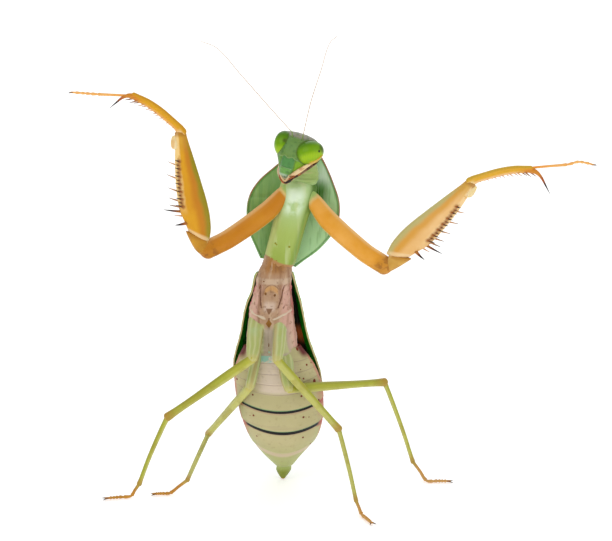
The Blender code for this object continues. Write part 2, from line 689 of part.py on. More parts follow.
def place_spine(start, end, girth, plane, row, slant):
    """A cone that stands on the inner edge of a leg segment and slants toward its end."""
    share, aside, length, radius = row
    axis = (end - start).normalized()
    across = (plane - axis * plane.dot(axis)).normalized()
    thick = axis.cross(across)
    half_width, half_thick, shift = place_along(girth, share)
    edge = half_width * math.sqrt(1 - (aside / half_thick) ** 2)
    root = start.lerp(end, share) + (across * (shift + edge - SPINE_ROOT) + thick * aside) * MM
    lean = across * math.cos(slant) + axis * math.sin(slant) + thick * aside * 0.45
    return cone_object("spine", root, lean.normalized(), length + SPINE_ROOT, radius)


def cone_object(name, root, direction, length, radius):
    bm = bmesh.new()
    bmesh.ops.create_cone(
        bm, cap_ends=True, segments=SPINE_SIDES, radius1=radius * MM, radius2=SPINE_TIP * MM,
        depth=length * MM)
    turn = direction.to_track_quat("Z", "Y").to_matrix().to_4x4()
    middle = root + direction * (length * MM / 2)
    bmesh.ops.transform(bm, matrix=Matrix.Translation(middle) @ turn, verts=bm.verts)
    return make_object(name, bm, root, "fore_leg")


def build_knee_lobes(start, end, plane):
    """Two rounded plates that guard the knee of a foreleg; plane runs along the tibia."""
    share, reach, radius, thickness, spread = KNEE_LOBE
    axis = (end - start).normalized()
    across = (plane - axis * plane.dot(axis)).normalized()
    frame = Matrix((across, axis.cross(across), axis)).transposed().to_4x4()
    lobes = []
    for sign in (-1, 1):
        bm = bmesh.new()
        bmesh.ops.create_uvsphere(bm, u_segments=10, v_segments=6, radius=MM)
        centre = start.lerp(end, share) + (across * reach + axis.cross(across) * sign * spread) * MM
        size = Matrix.Diagonal((radius, thickness, radius, 1.0))
        bmesh.ops.transform(bm, matrix=Matrix.Translation(centre) @ frame @ size, verts=bm.verts)
        normal = (plane.normalized() + axis).normalized()
        trim(bm, end - normal * GAP / 2, normal)
        lobes.append(make_object("lobe", bm, centre, "fore_leg"))
    return lobes


def build_claw(joint):
    """The hooked claw at the end of a fore tibia, bent toward the femur's spines."""
    root, tip = joint["claw_root"], joint["claw_tip"]
    along = (root - joint["knee"]).normalized()
    reach = tip - root
    sideways = (along - reach.normalized() * along.dot(reach.normalized())).normalized()
    points, radii = [], []
    for i in range(7):
        share = i / 6
        points.append(root + reach * share + sideways * CLAW_SAG * MM * math.sin(math.pi * share))
        radii.append(CLAW_RADIUS * MM * (1 - 0.88 * share))
    return make_object("claw", tube(points, radii, 2), root, "fore_leg")


def build_fore_tarsus(side, joint):
    """Five joints in a row, set on the outer side of the claw's root."""
    along = (joint["claw_root"] - joint["knee"]).normalized()
    inward = (joint["claw_tip"] - joint["claw_root"]).normalized()
    start = joint["claw_root"] + along * 0.5 * MM - inward * 0.5 * MM
    bend, toe = joint["tarsus_bend"], joint["toe"]
    points = [start, start.lerp(bend, 0.5)]
    radii = [FORE_TARSUS_RADIUS * MM, FORE_TARSUS_RADIUS * MM * 0.85]
    beads, bead_radii = bead_row(bend, toe, FORE_TARSUS_RADIUS, FORE_TARSUS_JOINTS)
    tarsus = make_object("fore_tarsus_" + side, tube(points + beads, radii + bead_radii), start, "tarsus")
    combine(tarsus, foot_claws(bend, toe), "UNION")
    return tarsus


def bead_row(start, end, radius, joints):
    """Points and radii of short foot joints in a row, each wider at its far end."""
    points, radii = [], []
    for low, high in zip(joints, joints[1:]):
        taper = 1 - 0.2 * low
        points += [start.lerp(end, low + 0.03), start.lerp(end, high - 0.03)]
        radii += [radius * MM * 0.72 * taper, radius * MM * 1.05 * taper]
    return points, radii


def foot_claws(start, end):
    """The pair of small claws at the tip of a tarsus."""
    along = (end - start).normalized()
    flat = Vector((along.x, along.y, 0)).normalized()
    claws = []
    for sign in (-1, 1):
        aim = Matrix.Rotation(sign * FOOT_CLAW_SPREAD, 3, "Z") @ flat
        root = end - along * FOOT_CLAW_LENGTH * math.cos(FOOT_CLAW_SPREAD) * MM
        root += aim.normalized().cross(Vector((0, 0, sign))) * FOOT_CLAW_SHIFT * MM
        claws.append(cone_object("claw", root, aim.normalized(), FOOT_CLAW_LENGTH, FOOT_CLAW_RADIUS))
    return claws


def build_walking_leg(name):
    """Coxa, femur, tibia and tarsus of one of the four legs she stands on."""
    joint = joints_of(WALKING_LEGS[name])
    plane = joint["knee"] - (joint["hip"] + joint["ankle"]) / 2
    coxa = limb(joint["socket"], joint["hip"], COXA_GIRTH, plane, 10, 5, None, joint["knee"])
    coxa = make_object(name + "_coxa", coxa, joint["socket"], "walking_leg")
    femur = limb(joint["hip"], joint["knee"], FEMUR_GIRTH, plane, 8, 6, joint["socket"], joint["ankle"])
    make_object(name + "_femur", femur, joint["hip"], "walking_leg")
    tibia = limb(joint["knee"], joint["ankle"], TIBIA_GIRTH, plane, 8, 6, joint["hip"], joint["heel"])
    make_object(name + "_tibia", tibia, joint["knee"], "walking_leg")
    build_tarsus(name, joint)
    return coxa


def build_tarsus(name, joint):
    """A foot of five joints; its sole is flat on the floor from heel to toe."""
    ankle, heel, toe = joint["ankle"], joint["heel"], joint["toe"]
    lead = (ankle - joint["knee"]).normalized()
    bend = ((heel - ankle).normalized() + lead).normalized()
    points = [ankle - (heel - ankle).normalized() * 0.8 * MM, ankle, ankle.lerp(heel, 0.55), heel]
    radii = [TARSUS_RADIUS * MM] * 4
    beads, bead_radii = bead_row(heel, toe, TARSUS_RADIUS, TARSUS_JOINTS)
    bm = tube(points + beads[1:], radii + bead_radii[1:], 1)
    trim(bm, ankle + bend * GAP / 2, -bend)
    trim(bm, Vector((0, 0, FLOOR)), Vector((0, 0, -1)))
    tarsus = make_object(name + "_tarsus", bm, ankle, "tarsus")
    combine(tarsus, foot_claws(heel, toe), "UNION")


def wing_columns(name):
    """Shares of a wing's section that its grid has columns at, with the height of a vein there."""
    columns = [(i / 4, 0.0) for i in range(5)]
    if name.startswith("tegmen"):
        columns = [(i / 8, 0.0) for i in range(9)]
        for vein in TEGMEN_VEINS:
            columns = [column for column in columns if abs(column[0] - vein) > 1.5 * VEIN_SHARE]
            columns += [(vein - VEIN_SHARE, 0.0), (vein, VEIN_HEIGHT), (vein + VEIN_SHARE, 0.0)]
    return sorted(columns)


def build_wing(name):
    """A folded wing: a thin sheet that runs over the back of the body."""
    lift, rise, first_angle, last_angle, low = WING_LAYERS[name]
    sign = 1 if name.endswith("left") else -1
    high = WING_SPREAD[-1][0]
    bm = bmesh.new()
    rows = []
    for i in range(WING_ROWS + 1):
        height = low + (high - low) * i / WING_ROWS
        spread = place_along(WING_SPREAD, height)[0]
        x, y, _, _, back = place_along(BODY_SECTIONS, height)
        row = []
        for share, ridge in wing_columns(name):
            angle = math.radians(first_angle + (last_angle - first_angle) * share)
            across = x + sign * (spread + ridge) * math.cos(angle)
            over = (back + rise + ridge) * math.sin(angle)
            row.append(bm.verts.new(at(across, y + lift + over, height)))
        rows.append(row)
    sheet_faces(bm, rows)
    colour = "tegmen" if name.startswith("tegmen") else "hindwing"
    wing = make_object(name, bm, at(sign * 3.5, 3.0, 54.5), colour)
    thicken(wing, WING_THICKNESS)


def main():
    for old in list(bpy.data.objects):
        bpy.data.objects.remove(old)
    parts = bpy.data.collections.new("mantis")
    bpy.context.scene.collection.children.link(parts)
    root = bpy.data.objects.new("root", None)
    parts.objects.link(root)
    root.location = (-FOOTPRINT_CENTRE[0] * MM, -FOOTPRINT_CENTRE[1] * MM, 0.0)

    build_trunk()
    build_cerci()
    prothorax = build_prothorax()
    build_shield()
    head = build_head()
    build_neck(head)
    carve(prothorax, [build_foreleg(side) for side in FORELEGS])
    coxae = {name: build_walking_leg(name) for name in WALKING_LEGS}
    mesothorax, metathorax = bpy.data.objects["mesothorax"], bpy.data.objects["metathorax"]
    abdomen = bpy.data.objects["abdomen"]
    middle = [coxae["mid_left"], coxae["mid_right"]]
    hind = [coxae["hind_left"], coxae["hind_right"]]
    carve(mesothorax, middle)
    carve(metathorax, middle + hind)
    carve(abdomen, hind + [bpy.data.objects["cercus_left"], bpy.data.objects["cercus_right"]])
    for name in WING_LAYERS:
        build_wing(name)


main()
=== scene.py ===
# %% [markdown]
# # A shield mantis in her threat display
# The real thing is a living adult female, about eleven centimetres from the floor to the tips of
# her feelers. Here she is a still model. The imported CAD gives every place, and this lesson makes
# the skin over it: plates, folds, thorns, veins and their colours.

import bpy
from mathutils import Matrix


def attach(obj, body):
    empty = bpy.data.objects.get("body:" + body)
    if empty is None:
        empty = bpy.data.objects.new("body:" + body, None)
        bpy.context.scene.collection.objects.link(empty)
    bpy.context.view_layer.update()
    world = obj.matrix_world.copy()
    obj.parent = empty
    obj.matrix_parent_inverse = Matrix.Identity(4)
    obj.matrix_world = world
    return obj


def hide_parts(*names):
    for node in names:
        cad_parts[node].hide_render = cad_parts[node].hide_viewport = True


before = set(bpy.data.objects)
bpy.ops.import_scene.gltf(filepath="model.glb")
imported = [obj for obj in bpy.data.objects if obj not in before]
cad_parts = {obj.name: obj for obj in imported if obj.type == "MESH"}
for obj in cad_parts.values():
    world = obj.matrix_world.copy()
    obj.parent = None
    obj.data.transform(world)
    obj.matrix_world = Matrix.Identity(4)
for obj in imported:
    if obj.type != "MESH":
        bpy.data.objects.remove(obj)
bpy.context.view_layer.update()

# %% [markdown]
# ## Measures
# All tables below are in millimetres in the animal's own frame: she faces -Y, her left side is +X,
# and the floor is zero. The imported model has the middle of its box over the origin, so one shift
# leads from her frame to the shared one. The joints and body widths were read from the photograph
# through the camera below, at chosen depths, and rounded to a tenth of a millimetre.

# %% Units and smooth tables
import math
from bisect import bisect_right

import bmesh
import bpy
from mathutils import Matrix, Vector, noise

MM = 0.001
ORIGIN = Vector((-13.45, 5.60, 0.0))


def at(point):
    """A place in her own frame, in millimetres, as a place in the shared frame."""
    return (Vector(point) + ORIGIN) * MM


def along(stations, place):
    """Smooth values at one place along a table, whose rows are a place and its values."""
    places = [row[0] for row in stations]
    index = min(max(bisect_right(places, place) - 1, 0), len(stations) - 2)
    before = stations[max(index - 1, 0)]
    start, end = stations[index], stations[index + 1]
    after = stations[min(index + 2, len(stations) - 1)]
    span = end[0] - start[0]
    share = (place - start[0]) / span
    values = []
    for column in range(1, len(start)):
        slope_in = (end[column] - before[column]) / (end[0] - before[0]) * span
        slope_out = (after[column] - start[column]) / (after[0] - start[0]) * span
        curve = share * share * (3 - 2 * share) * (end[column] - start[column])
        curve += share * (1 - share) * ((1 - share) * slope_in - share * slope_out)
        values.append(start[column] + curve)
    return values


def station(stations, share):
    """The place at one share of the way along a table."""
    first, last = stations[0][0], stations[-1][0]
    return first + (last - first) * share


def step(low, high, value):
    """Zero at low and one at high, smooth between; low may be above high, and the step then falls."""
    share = min(max((value - low) / (high - low), 0.0), 1.0)
    return share * share * (3 - 2 * share)


# %% [markdown]
# ## Camera, floor and light
# The photograph was taken from a little above with a long lens, which is why the legs hardly
# shrink with distance. The floor is a pale sweep and the light comes from large soft boxes, so
# that shadows stay faint, as on a photographer's white table.

# %% Camera
CAMERA_PLACE = (7.0, -544.59, 194.48)
CAMERA_PITCH = math.radians(14.3)
PHOTO_SIZE = (612, 541)
CAMERA_LENS, CAMERA_SENSOR = 137.19, 36.0
camera_data = bpy.data.cameras.new("camera")
camera_data.lens, camera_data.sensor_width = CAMERA_LENS, CAMERA_SENSOR
camera_data.clip_start, camera_data.clip_end = 0.01, 20.0
camera = bpy.data.objects.new("camera", camera_data)
bpy.context.scene.collection.objects.link(camera)
camera.location = at(CAMERA_PLACE)
camera.rotation_euler = (math.pi / 2 - CAMERA_PITCH, 0.0, 0.0)
bpy.context.scene.camera = camera


def photo_ray(column, row):
    """The camera's place and the direction through one place of the photograph."""
    scale = CAMERA_SENSOR / CAMERA_LENS / PHOTO_SIZE[0]
    aim = Vector(((column - PHOTO_SIZE[0] / 2) * scale, (PHOTO_SIZE[1] / 2 - row) * scale, -1.0))
    turn = Matrix.Rotation(math.pi / 2 - CAMERA_PITCH, 3, "X")
    return camera.location, (turn @ aim).normalized()


def spot_on(piece, column, row):
    """Where a piece shows at one place of the photograph, and its normal there."""
    bpy.context.view_layer.update()
    start, aim = photo_ray(column, row)
    hit, place, normal, _ = piece.ray_cast(start, aim)
    return (place, normal) if hit else (None, None)


# %% Floor and lights
FLOOR_SIZE = 16.0
FLOOR_PLACE = (0, 1.0, -0.0002)
bpy.ops.object.select_all(action="DESELECT")
bpy.ops.mesh.primitive_plane_add(size=FLOOR_SIZE, location=FLOOR_PLACE)
floor = bpy.context.object
floor.name = "floor"
floor_finish = bpy.data.materials.new("floor white")
floor_finish.use_nodes = True
floor_shader = floor_finish.node_tree.nodes["Principled BSDF"]
floor_shader.inputs["Base Color"].default_value = (0.93, 0.93, 0.93, 1.0)
floor_shader.inputs["Roughness"].default_value = 0.9
floor_shader.inputs["Emission Color"].default_value = (1.0, 1.0, 1.0, 1.0)
floor_shader.inputs["Emission Strength"].default_value = 0.35
floor.data.materials.append(floor_finish)

BOX_SIZE = 0.9
BOX_AIM = Vector((0.0, 0.0, 0.06))
# Name, place and power of each soft box
SOFT_BOXES = [
    ("key light", (-0.55, -0.65, 0.75), 3.4),
    ("fill light", (0.70, -0.60, 0.55), 2.0),
    ("back light", (0.10, 0.70, 0.65), 2.6),
]
for name, place, power in SOFT_BOXES:
    light_data = bpy.data.lights.new(name, "AREA")
    light_data.shape, light_data.size, light_data.energy = "SQUARE", BOX_SIZE, power
    light = bpy.data.objects.new(name, light_data)
    bpy.context.scene.collection.objects.link(light)
    light.location = place
    light.rotation_euler = (BOX_AIM - Vector(place)).to_track_quat("-Z", "Y").to_euler()

world = bpy.data.worlds.new("studio")
bpy.context.scene.world = world
world.use_nodes = True
world_nodes, world_links = world.node_tree.nodes, world.node_tree.links
backdrop, sky = world_nodes["Background"], world_nodes.new("ShaderNodeBackground")
sky.inputs["Strength"].default_value = 0.55
choice, seen = world_nodes.new("ShaderNodeMixShader"), world_nodes.new("ShaderNodeLightPath")
backdrop.inputs["Color"].default_value = sky.inputs["Color"].default_value = (1.0, 1.0, 1.0, 1.0)
world_links.new(seen.outputs["Is Camera Ray"], choice.inputs["Fac"])
world_links.new(sky.outputs["Background"], choice.inputs[1])
world_links.new(backdrop.outputs["Background"], choice.inputs[2])
world_links.new(choice.outputs["Shader"], world_nodes["World Output"].inputs["Surface"])
bpy.context.scene.view_settings.view_transform = "Standard"
print("camera, floor and", len(SOFT_BOXES), "soft boxes")

# %% [markdown]
# ## Clay blanks
# Nearly every part of an insect is a tube: a leg joint, a belly, a thorn. By hand one adds a
# cylinder and cuts rings into it. The same is done here with the cylinder and edge ring operators,
# and then each vertex is moved to its place by its ring and its angle, because her sections are
# not plain ovals. Marks are written on the vertices too, and the materials read them.

# %% Tubes and sheets to mould


def pick(piece):
    """Select one piece and nothing else."""
    bpy.ops.object.select_all(action="DESELECT")
    bpy.context.view_layer.objects.active = piece
    piece.select_set(True)


def fresh(name):
    """The new primitive under its name, with its place in its mesh."""
    piece = bpy.context.object
    piece.name = piece.data.name = name
    bpy.ops.object.transform_apply(location=True, rotation=True, scale=True)
    return piece


def blank_tube(name, sides, rings):
    """A closed straight tube of radius one from z = 0 to z = 1."""
    bpy.ops.object.select_all(action="DESELECT")
    bpy.ops.mesh.primitive_cylinder_add(
        vertices=sides, radius=1, depth=1, end_fill_type="TRIFAN", location=(0, 0, 0.5))
    piece = fresh(name)
    bpy.ops.object.mode_set(mode="EDIT")
    bpy.ops.mesh.select_all(action="DESELECT")
    bm = bmesh.from_edit_mesh(piece.data)
    for edge in bm.edges:
        if abs(edge.verts[0].co.z - edge.verts[1].co.z) > 0.5:
            edge.select_set(True)
    bmesh.update_edit_mesh(piece.data)
    bpy.ops.mesh.subdivide_edgering(number_cuts=rings - 2, interpolation="LINEAR", smoothness=0)
    bpy.ops.object.mode_set(mode="OBJECT")
    return piece


def blank_sheet(name, columns, rows):
    """A flat sheet from 0 to 1 in x and y."""
    bpy.ops.object.select_all(action="DESELECT")
    bpy.ops.mesh.primitive_grid_add(
        x_subdivisions=columns, y_subdivisions=rows, size=1, location=(0.5, 0.5, 0))
    return fresh(name)


def mark(piece, name, values):
    """Write one number on each vertex, under a name that a material can read."""
    attribute = piece.data.attributes.new(name, "FLOAT", "POINT")
    attribute.data.foreach_set("value", values)


def mould_tube(piece, place, marks=None):
    """Move each vertex to place(share, angle), in millimetres of her own frame, and write marks."""
    marks = marks or {}
    written = {name: [] for name in ("along", "around", *marks)}
    for vert in piece.data.vertices:
        share, angle = vert.co.z, math.atan2(vert.co.y, vert.co.x)
        if math.hypot(vert.co.x, vert.co.y) < 0.5:
            point = (Vector(place(share, 0.0)) + Vector(place(share, math.pi))) / 2
        else:
            point = Vector(place(share, angle))
        vert.co = at(point)
        written["along"].append(share)
        written["around"].append(math.cos(angle))
        for name, rule in marks.items():
            written[name].append(rule(share, angle, point))
    for name, values in written.items():
        mark(piece, name, values)
    return piece


def mould_sheet(piece, place, marks):
    """Move each vertex to place(u, v), in millimetres of her own frame, and write marks."""
    spots = [(vert.co.x, vert.co.y) for vert in piece.data.vertices]
    for vert, spot in zip(piece.data.vertices, spots):
        vert.co = at(place(*spot))
    mark(piece, "along", [v for u, v in spots])
    mark(piece, "around", [u for u, v in spots])
    for name, rule in marks.items():
        mark(piece, name, [rule(*spot) for spot in spots])
    return piece


def thicken(piece, thickness, inward):
    """Give a sheet its thickness, and mark the face where inward(place) is the greater."""
    plain = len(piece.data.vertices)
    modifier = piece.modifiers.new("thickness", "SOLIDIFY")
    modifier.thickness, modifier.offset = thickness * MM, 0.0
    pick(piece)
    bpy.ops.object.modifier_apply(modifier=modifier.name)
    spots = [vert.co.copy() for vert in piece.data.vertices]
    inner = []
    for i, spot in enumerate(spots):
        twin = spots[i + plain] if i < plain else spots[i - plain]
        inner.append(1.0 if inward(spot) > inward(twin) else 0.0)
    mark(piece, "inner", inner)


def join(name, pieces):
    """One piece out of several."""
    bpy.ops.object.select_all(action="DESELECT")
    for piece in pieces:
        piece.select_set(True)
    bpy.context.view_layer.objects.active = pieces[0]
    if len(pieces) > 1:
        bpy.ops.object.join()
    joined = bpy.context.object
    joined.name = joined.data.name = name
    return joined


SMOOTH_ANGLE = math.radians(55)
finished = []


def dress(piece, material, slot, *nodes):
    """Give a finished piece its material and its body, and hide the CAD parts it stands for; slot is not
    used.
    """
    piece.data.materials.clear()
    piece.data.materials.append(material)
    pick(piece)
    bpy.ops.object.shade_smooth_by_angle(angle=SMOOTH_ANGLE)
    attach(piece, "root")
    if nodes:
        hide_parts(*nodes)
    finished.append(piece.name)
    return piece


# %% [markdown]
# ## Finishes
# Insect skin is never one colour: it is mottled, it is darker in the folds, and under a lens it
# shows tiny bumps. One shader group makes the mottling and the bumps for all of it, and each
# material adds its own colours in layers, through masks that follow the part.

# %% The skin group
skin_group = bpy.data.node_groups.new("insect skin", "ShaderNodeTree")
for name, value in (("Grain size", 900.0), ("Blotch size", 120.0)):
    socket = skin_group.interface.new_socket(name, in_out="INPUT", socket_type="NodeSocketFloat")
    socket.default_value = value
for name in ("Blotches", "Height", "Gloss"):
    skin_group.interface.new_socket(name, in_out="OUTPUT", socket_type="NodeSocketFloat")


def build_skin_group():
    """Blotches, fine bumps and gloss that varies a little, all from the object's own place."""
    nodes, links = skin_group.nodes, skin_group.links
    enter, leave = nodes.new("NodeGroupInput"), nodes.new("NodeGroupOutput")
    place = nodes.new("ShaderNodeTexCoord")
    blotch = nodes.new("ShaderNodeTexNoise")
    blotch.inputs["Detail"].default_value = 5.0
    grain = nodes.new("ShaderNodeTexVoronoi")
    fine = nodes.new("ShaderNodeTexNoise")
    fine.inputs["Detail"].default_value = 3.0
    add = nodes.new("ShaderNodeMath")
    add.operation = "ADD"
    spread = nodes.new("ShaderNodeMapRange")
    spread.inputs["From Min"].default_value = 0.35
    spread.inputs["From Max"].default_value = 0.65
    gloss = nodes.new("ShaderNodeMapRange")
    gloss.inputs["To Min"].default_value = 0.85
    gloss.inputs["To Max"].default_value = 1.15
    for texture in (blotch, grain, fine):
        links.new(place.outputs["Object"], texture.inputs["Vector"])
    links.new(enter.outputs["Blotch size"], blotch.inputs["Scale"])
    links.new(enter.outputs["Grain size"], grain.inputs["Scale"])
    links.new(enter.outputs["Grain size"], fine.inputs["Scale"])
    links.new(blotch.outputs["Fac"], spread.inputs["Value"])
    links.new(spread.outputs["Result"], leave.inputs["Blotches"])
    links.new(grain.outputs["Distance"], add.inputs[0])
    links.new(fine.outputs["Fac"], add.inputs[1])
    links.new(add.outputs["Value"], leave.inputs["Height"])
    links.new(fine.outputs["Fac"], gloss.inputs["Value"])
    links.new(gloss.outputs["Result"], leave.inputs["Gloss"])


build_skin_group()
print("skin group:", len(skin_group.nodes), "nodes")


def shade(red, green, blue):
    """A colour given as the 0 to 255 numbers a paint chart has, made linear."""
    linear = [(v / 255 / 12.92 if v / 255 <= 0.04045 else ((v / 255 + 0.055) / 1.055) ** 2.4)
              for v in (red, green, blue)]
    return (*linear, 1.0)


# %% [markdown]
# A small recipe class keeps each material short. It starts from a base colour, adds layers of
# colour through masks, and ends in one glossy shader whose constant values sit on its own sockets.

# %% Recipes for materials
# Metres, apart from the share of each colour that goes under the skin
BUMP_DEPTH = 0.0001
SOFT_DEPTH = 0.001
SOFT_COLOURS = (1.0, 1.0, 0.5)


class Recipe:
    """One material: a base colour with blotches, and layers of colour over it."""

    def __init__(self, name, colour, blotch_colour, grain=900.0, blotches=120.0, share=0.5):
        self.material = bpy.data.materials.new(name)
        self.material.use_nodes = True
        self.nodes, self.links = self.material.node_tree.nodes, self.material.node_tree.links
        self.shader = self.nodes["Principled BSDF"]
        self.skin = self.nodes.new("ShaderNodeGroup")
        self.skin.node_tree = skin_group
        self.skin.inputs["Grain size"].default_value = grain
        self.skin.inputs["Blotch size"].default_value = blotches
        self.colour = shade(*colour)
        self.layer(blotch_colour, self.skin.outputs["Blotches"], share)

    def plug(self, socket, value):
        """Link a socket to another one, or give it a constant."""
        if isinstance(value, bpy.types.NodeSocket):
            self.links.new(value, socket)
        else:
            socket.default_value = value

    def math(self, operation, first, second=0.0):
        node = self.nodes.new("ShaderNodeMath")
        node.operation = operation
        self.plug(node.inputs[0], first)
        self.plug(node.inputs[1], second)
        return node.outputs["Value"]

    def plus(self, first, second):
        return self.math("ADD", first, second)

    def times(self, first, *others):
        for other in others:
            first = self.math("MULTIPLY", first, other)
        return first

    def read(self, name):
        """A mark that was written on the piece."""
        node = self.nodes.new("ShaderNodeAttribute")
        node.attribute_name = name
        return node.outputs["Fac"]

    def ramp(self, value, low, high):
        """Zero at low, one at high; low may be above high."""
        node = self.nodes.new("ShaderNodeMapRange")
        node.interpolation_type = "SMOOTHSTEP"
        self.plug(node.inputs["Value"], value)
        self.plug(node.inputs["From Min"], low)
        self.plug(node.inputs["From Max"], high)
        return node.outputs["Result"]

    def band(self, value, low, high, soft):
        """One between low and high, with soft edges."""
        rise = self.ramp(value, low - soft, low + soft)
        fall = self.ramp(value, high + soft, high - soft)
        return self.times(rise, fall)

    def noise(self, scale, detail=3.0, stretch=None):
        """Cloudy values around one half; stretch scales them along each axis."""
        place = self.nodes.new("ShaderNodeTexCoord")
        texture = self.nodes.new("ShaderNodeTexNoise")
        texture.inputs["Scale"].default_value = scale
        texture.inputs["Detail"].default_value = detail
        source = place.outputs["Object"]
        if stretch:
            mapping = self.nodes.new("ShaderNodeMapping")
            mapping.inputs["Scale"].default_value = stretch
            self.links.new(source, mapping.inputs["Vector"])
            source = mapping.outputs["Vector"]
        self.links.new(source, texture.inputs["Vector"])
        return texture.outputs["Fac"]

    def flecks(self, scale, detail, low, high, stretch=None):
        """Noise that is cut at a level: one in its patches and zero between them."""
        return self.ramp(self.noise(scale, detail, stretch), low, high)

    def layer(self, colour, *masks):
        """Lay a colour over the ones before, as strongly as all masks multiplied."""
        node = self.nodes.new("ShaderNodeMix")
        node.data_type = "RGBA"
        self.plug(node.inputs["Factor"], self.times(*masks))
        self.plug(node.inputs[6], self.colour)
        self.plug(node.inputs[7], shade(*colour))
        self.colour = node.outputs[2]

    def finish(self, roughness, bump, soft=0.0, specular=0.3):
        """Wire the glossy shader; soft is how much light goes under the skin."""
        self.plug(self.shader.inputs["Base Color"], self.colour)
        self.plug(self.shader.inputs["Roughness"], self.times(self.skin.outputs["Gloss"], roughness))
        node = self.nodes.new("ShaderNodeBump")
        node.inputs["Strength"].default_value = bump
        node.inputs["Distance"].default_value = BUMP_DEPTH
        self.plug(node.inputs["Height"], self.skin.outputs["Height"])
        self.links.new(node.outputs["Normal"], self.shader.inputs["Normal"])
        self.shader.inputs["Specular IOR Level"].default_value = specular
        self.shader.inputs["Subsurface Weight"].default_value = soft
        self.shader.inputs["Subsurface Scale"].default_value = SOFT_DEPTH
        self.shader.inputs["Subsurface Radius"].default_value = SOFT_COLOURS
        return self.material


# %% [markdown]
# ## Abdomen
# Her belly is a row of plates that overlap like roof tiles, each edge lying over the next plate
# down. Two edges are drawn in black. The belly is moulded from one tube with rings set close
# together at each edge, so that the steps are real and catch the light.

# %% Body sections and the belly
# Height, x, y, half width, belly depth, back depth
BODY_SECTIONS = [
    (0.0, 1.25, 8.1, 0.4, 0.3, 0.3),
    (1.2, 1.3, 7.9, 1.15, 0.95, 0.8),
    (2.4, 1.4, 7.6, 1.75, 1.5, 1.2),
    (3.8, 1.5, 7.3, 2.1, 1.9, 1.6),
    (7.0, 1.25, 6.5, 5.0, 4.0, 2.7),
    (11.4, 1.4, 5.5, 8.2, 5.8, 3.4),
    (15.1, 1.3, 4.7, 9.7, 6.6, 3.8),
    (19.0, 1.0, 3.8, 10.5, 7.0, 4.0),
    (24.2, 0.5, 2.6, 10.9, 6.9, 4.0),
    (27.4, 0.1, 1.9, 10.8, 6.5, 3.9),
    (32.4, -0.6, 0.8, 9.6, 5.6, 3.8),
    (37.5, -1.2, 0.1, 6.9, 4.7, 3.8),
    (42.0, -1.35, 0.0, 5.8, 4.4, 3.8),
    (46.6, -1.3, 0.0, 5.4, 4.3, 3.7),
    (52.3, -0.8, 0.0, 4.2, 3.7, 3.2),
    (55.8, -0.35, 0.0, 3.8, 3.1, 2.7),
    (60.0, 0.95, 0.1, 3.9, 2.7, 2.4),
]
PLATE_EDGES = [9.5, 16.1, 22.0, 26.4, 28.7, 31.2, 33.8]
PLATE_BORDERS = [3.8, *PLATE_EDGES, 37.3]
EDGE_RINGS = (-0.2, -0.04, 0.03, 0.1, 0.24, 0.4)
# The two edges that are drawn in black, and how far the black reaches down from each
BLACK_EDGES = {22.0: 0.62, 16.1: 0.78}
PLATE_LIFT = 0.32
EDGE_SAG = 1.9
BELLY_TUCK = 0.38


def body_point(height, angle, swell=0.0, edge=1.0):
    """A point of her outline at one height; angle -90 degrees is the middle of the belly."""
    x, y, half_width, belly, back = along(BODY_SECTIONS, height)
    depth = back if math.sin(angle) > 0 else belly
    reach = math.copysign(abs(math.sin(angle)) ** edge, math.sin(angle))
    return Vector((x + (half_width + swell) * math.cos(angle), y + (depth + swell) * reach, height))


def plate_lift(level):
    """How far a belly plate stands out: most at its lower edge, then less up to the next one."""
    index = min(max(bisect_right(PLATE_BORDERS, level) - 1, 0), len(PLATE_BORDERS) - 2)
    tall = PLATE_BORDERS[index + 1] - PLATE_BORDERS[index]
    share = (level - PLATE_BORDERS[index]) / tall
    return PLATE_LIFT * step(0.0, 0.035, share) * (1 - share) ** 0.8 * min(1.0, tall / 4)


def belly_levels():
    """Heights of the rings, close together at each plate edge."""
    levels = {round(4.0 + 0.55 * i, 3) for i in range(61)}
    for border in PLATE_EDGES:
        levels = {level for level in levels if abs(level - border) > 0.35}
        levels |= {border + ring for ring in EDGE_RINGS}
    return sorted(levels)


BELLY_LEVELS = belly_levels()


def belly_level(share, angle=0.0, point=None):
    """Height of the ring that a vertex of the blank belongs to."""
    return BELLY_LEVELS[round(share * (len(BELLY_LEVELS) - 1))]


def belly_place(share, angle):
    level = belly_level(share)
    front = max(-math.sin(angle), 0.0)
    sag = EDGE_SAG * (front ** 2 - 0.5) * step(3.0, 10.0, level) * step(37.0, 24.0, level)
    height = level - sag
    swell = plate_lift(level) * (0.35 + 0.65 * front) + 0.25 * step(6.5, 4.5, level)
    margin = abs(math.cos(angle)) ** 14 * 0.15 * step(5.0, 9.0, level)
    wrinkle = 0.03 * math.sin(level * 7.0 + 3 * math.cos(angle)) * front
    point = body_point(height, angle, swell + wrinkle - BELLY_TUCK, 1.25)
    point.x += margin * math.copysign(1, math.cos(angle))
    return point


skin = Recipe("belly skin", (192, 182, 136), (170, 162, 112), 700, 60, 0.7)
level = skin.read("level")
side = skin.math("ABSOLUTE", skin.read("around"))
flank = skin.ramp(side, 0.80, 0.97)
middle = skin.ramp(side, 0.62, 0.30)
skin.layer((166, 172, 108), skin.ramp(level, 14.0, 4.0))
skin.layer((168, 176, 112), flank, 0.5, skin.ramp(level, 24.0, 20.0))
upper = skin.times(skin.band(level, 26.6, 36.0, 0.8), middle)
skin.layer((218, 200, 182), upper, 0.9)
skin.layer((150, 128, 92), skin.flecks(900, 4.0, 0.55, 0.75), 0.35)
skin.layer((160, 140, 112), skin.flecks(260, 3.0, 0.54, 0.70, (0.22, 0.22, 2.6)), 0.4)
skin.layer((186, 120, 96), skin.flecks(170, 2.0, 0.52, 0.7), flank, 0.6)
for border in PLATE_EDGES[3:]:
    skin.layer((150, 122, 112), skin.band(level, border - 0.16, border, 0.08), 0.55)
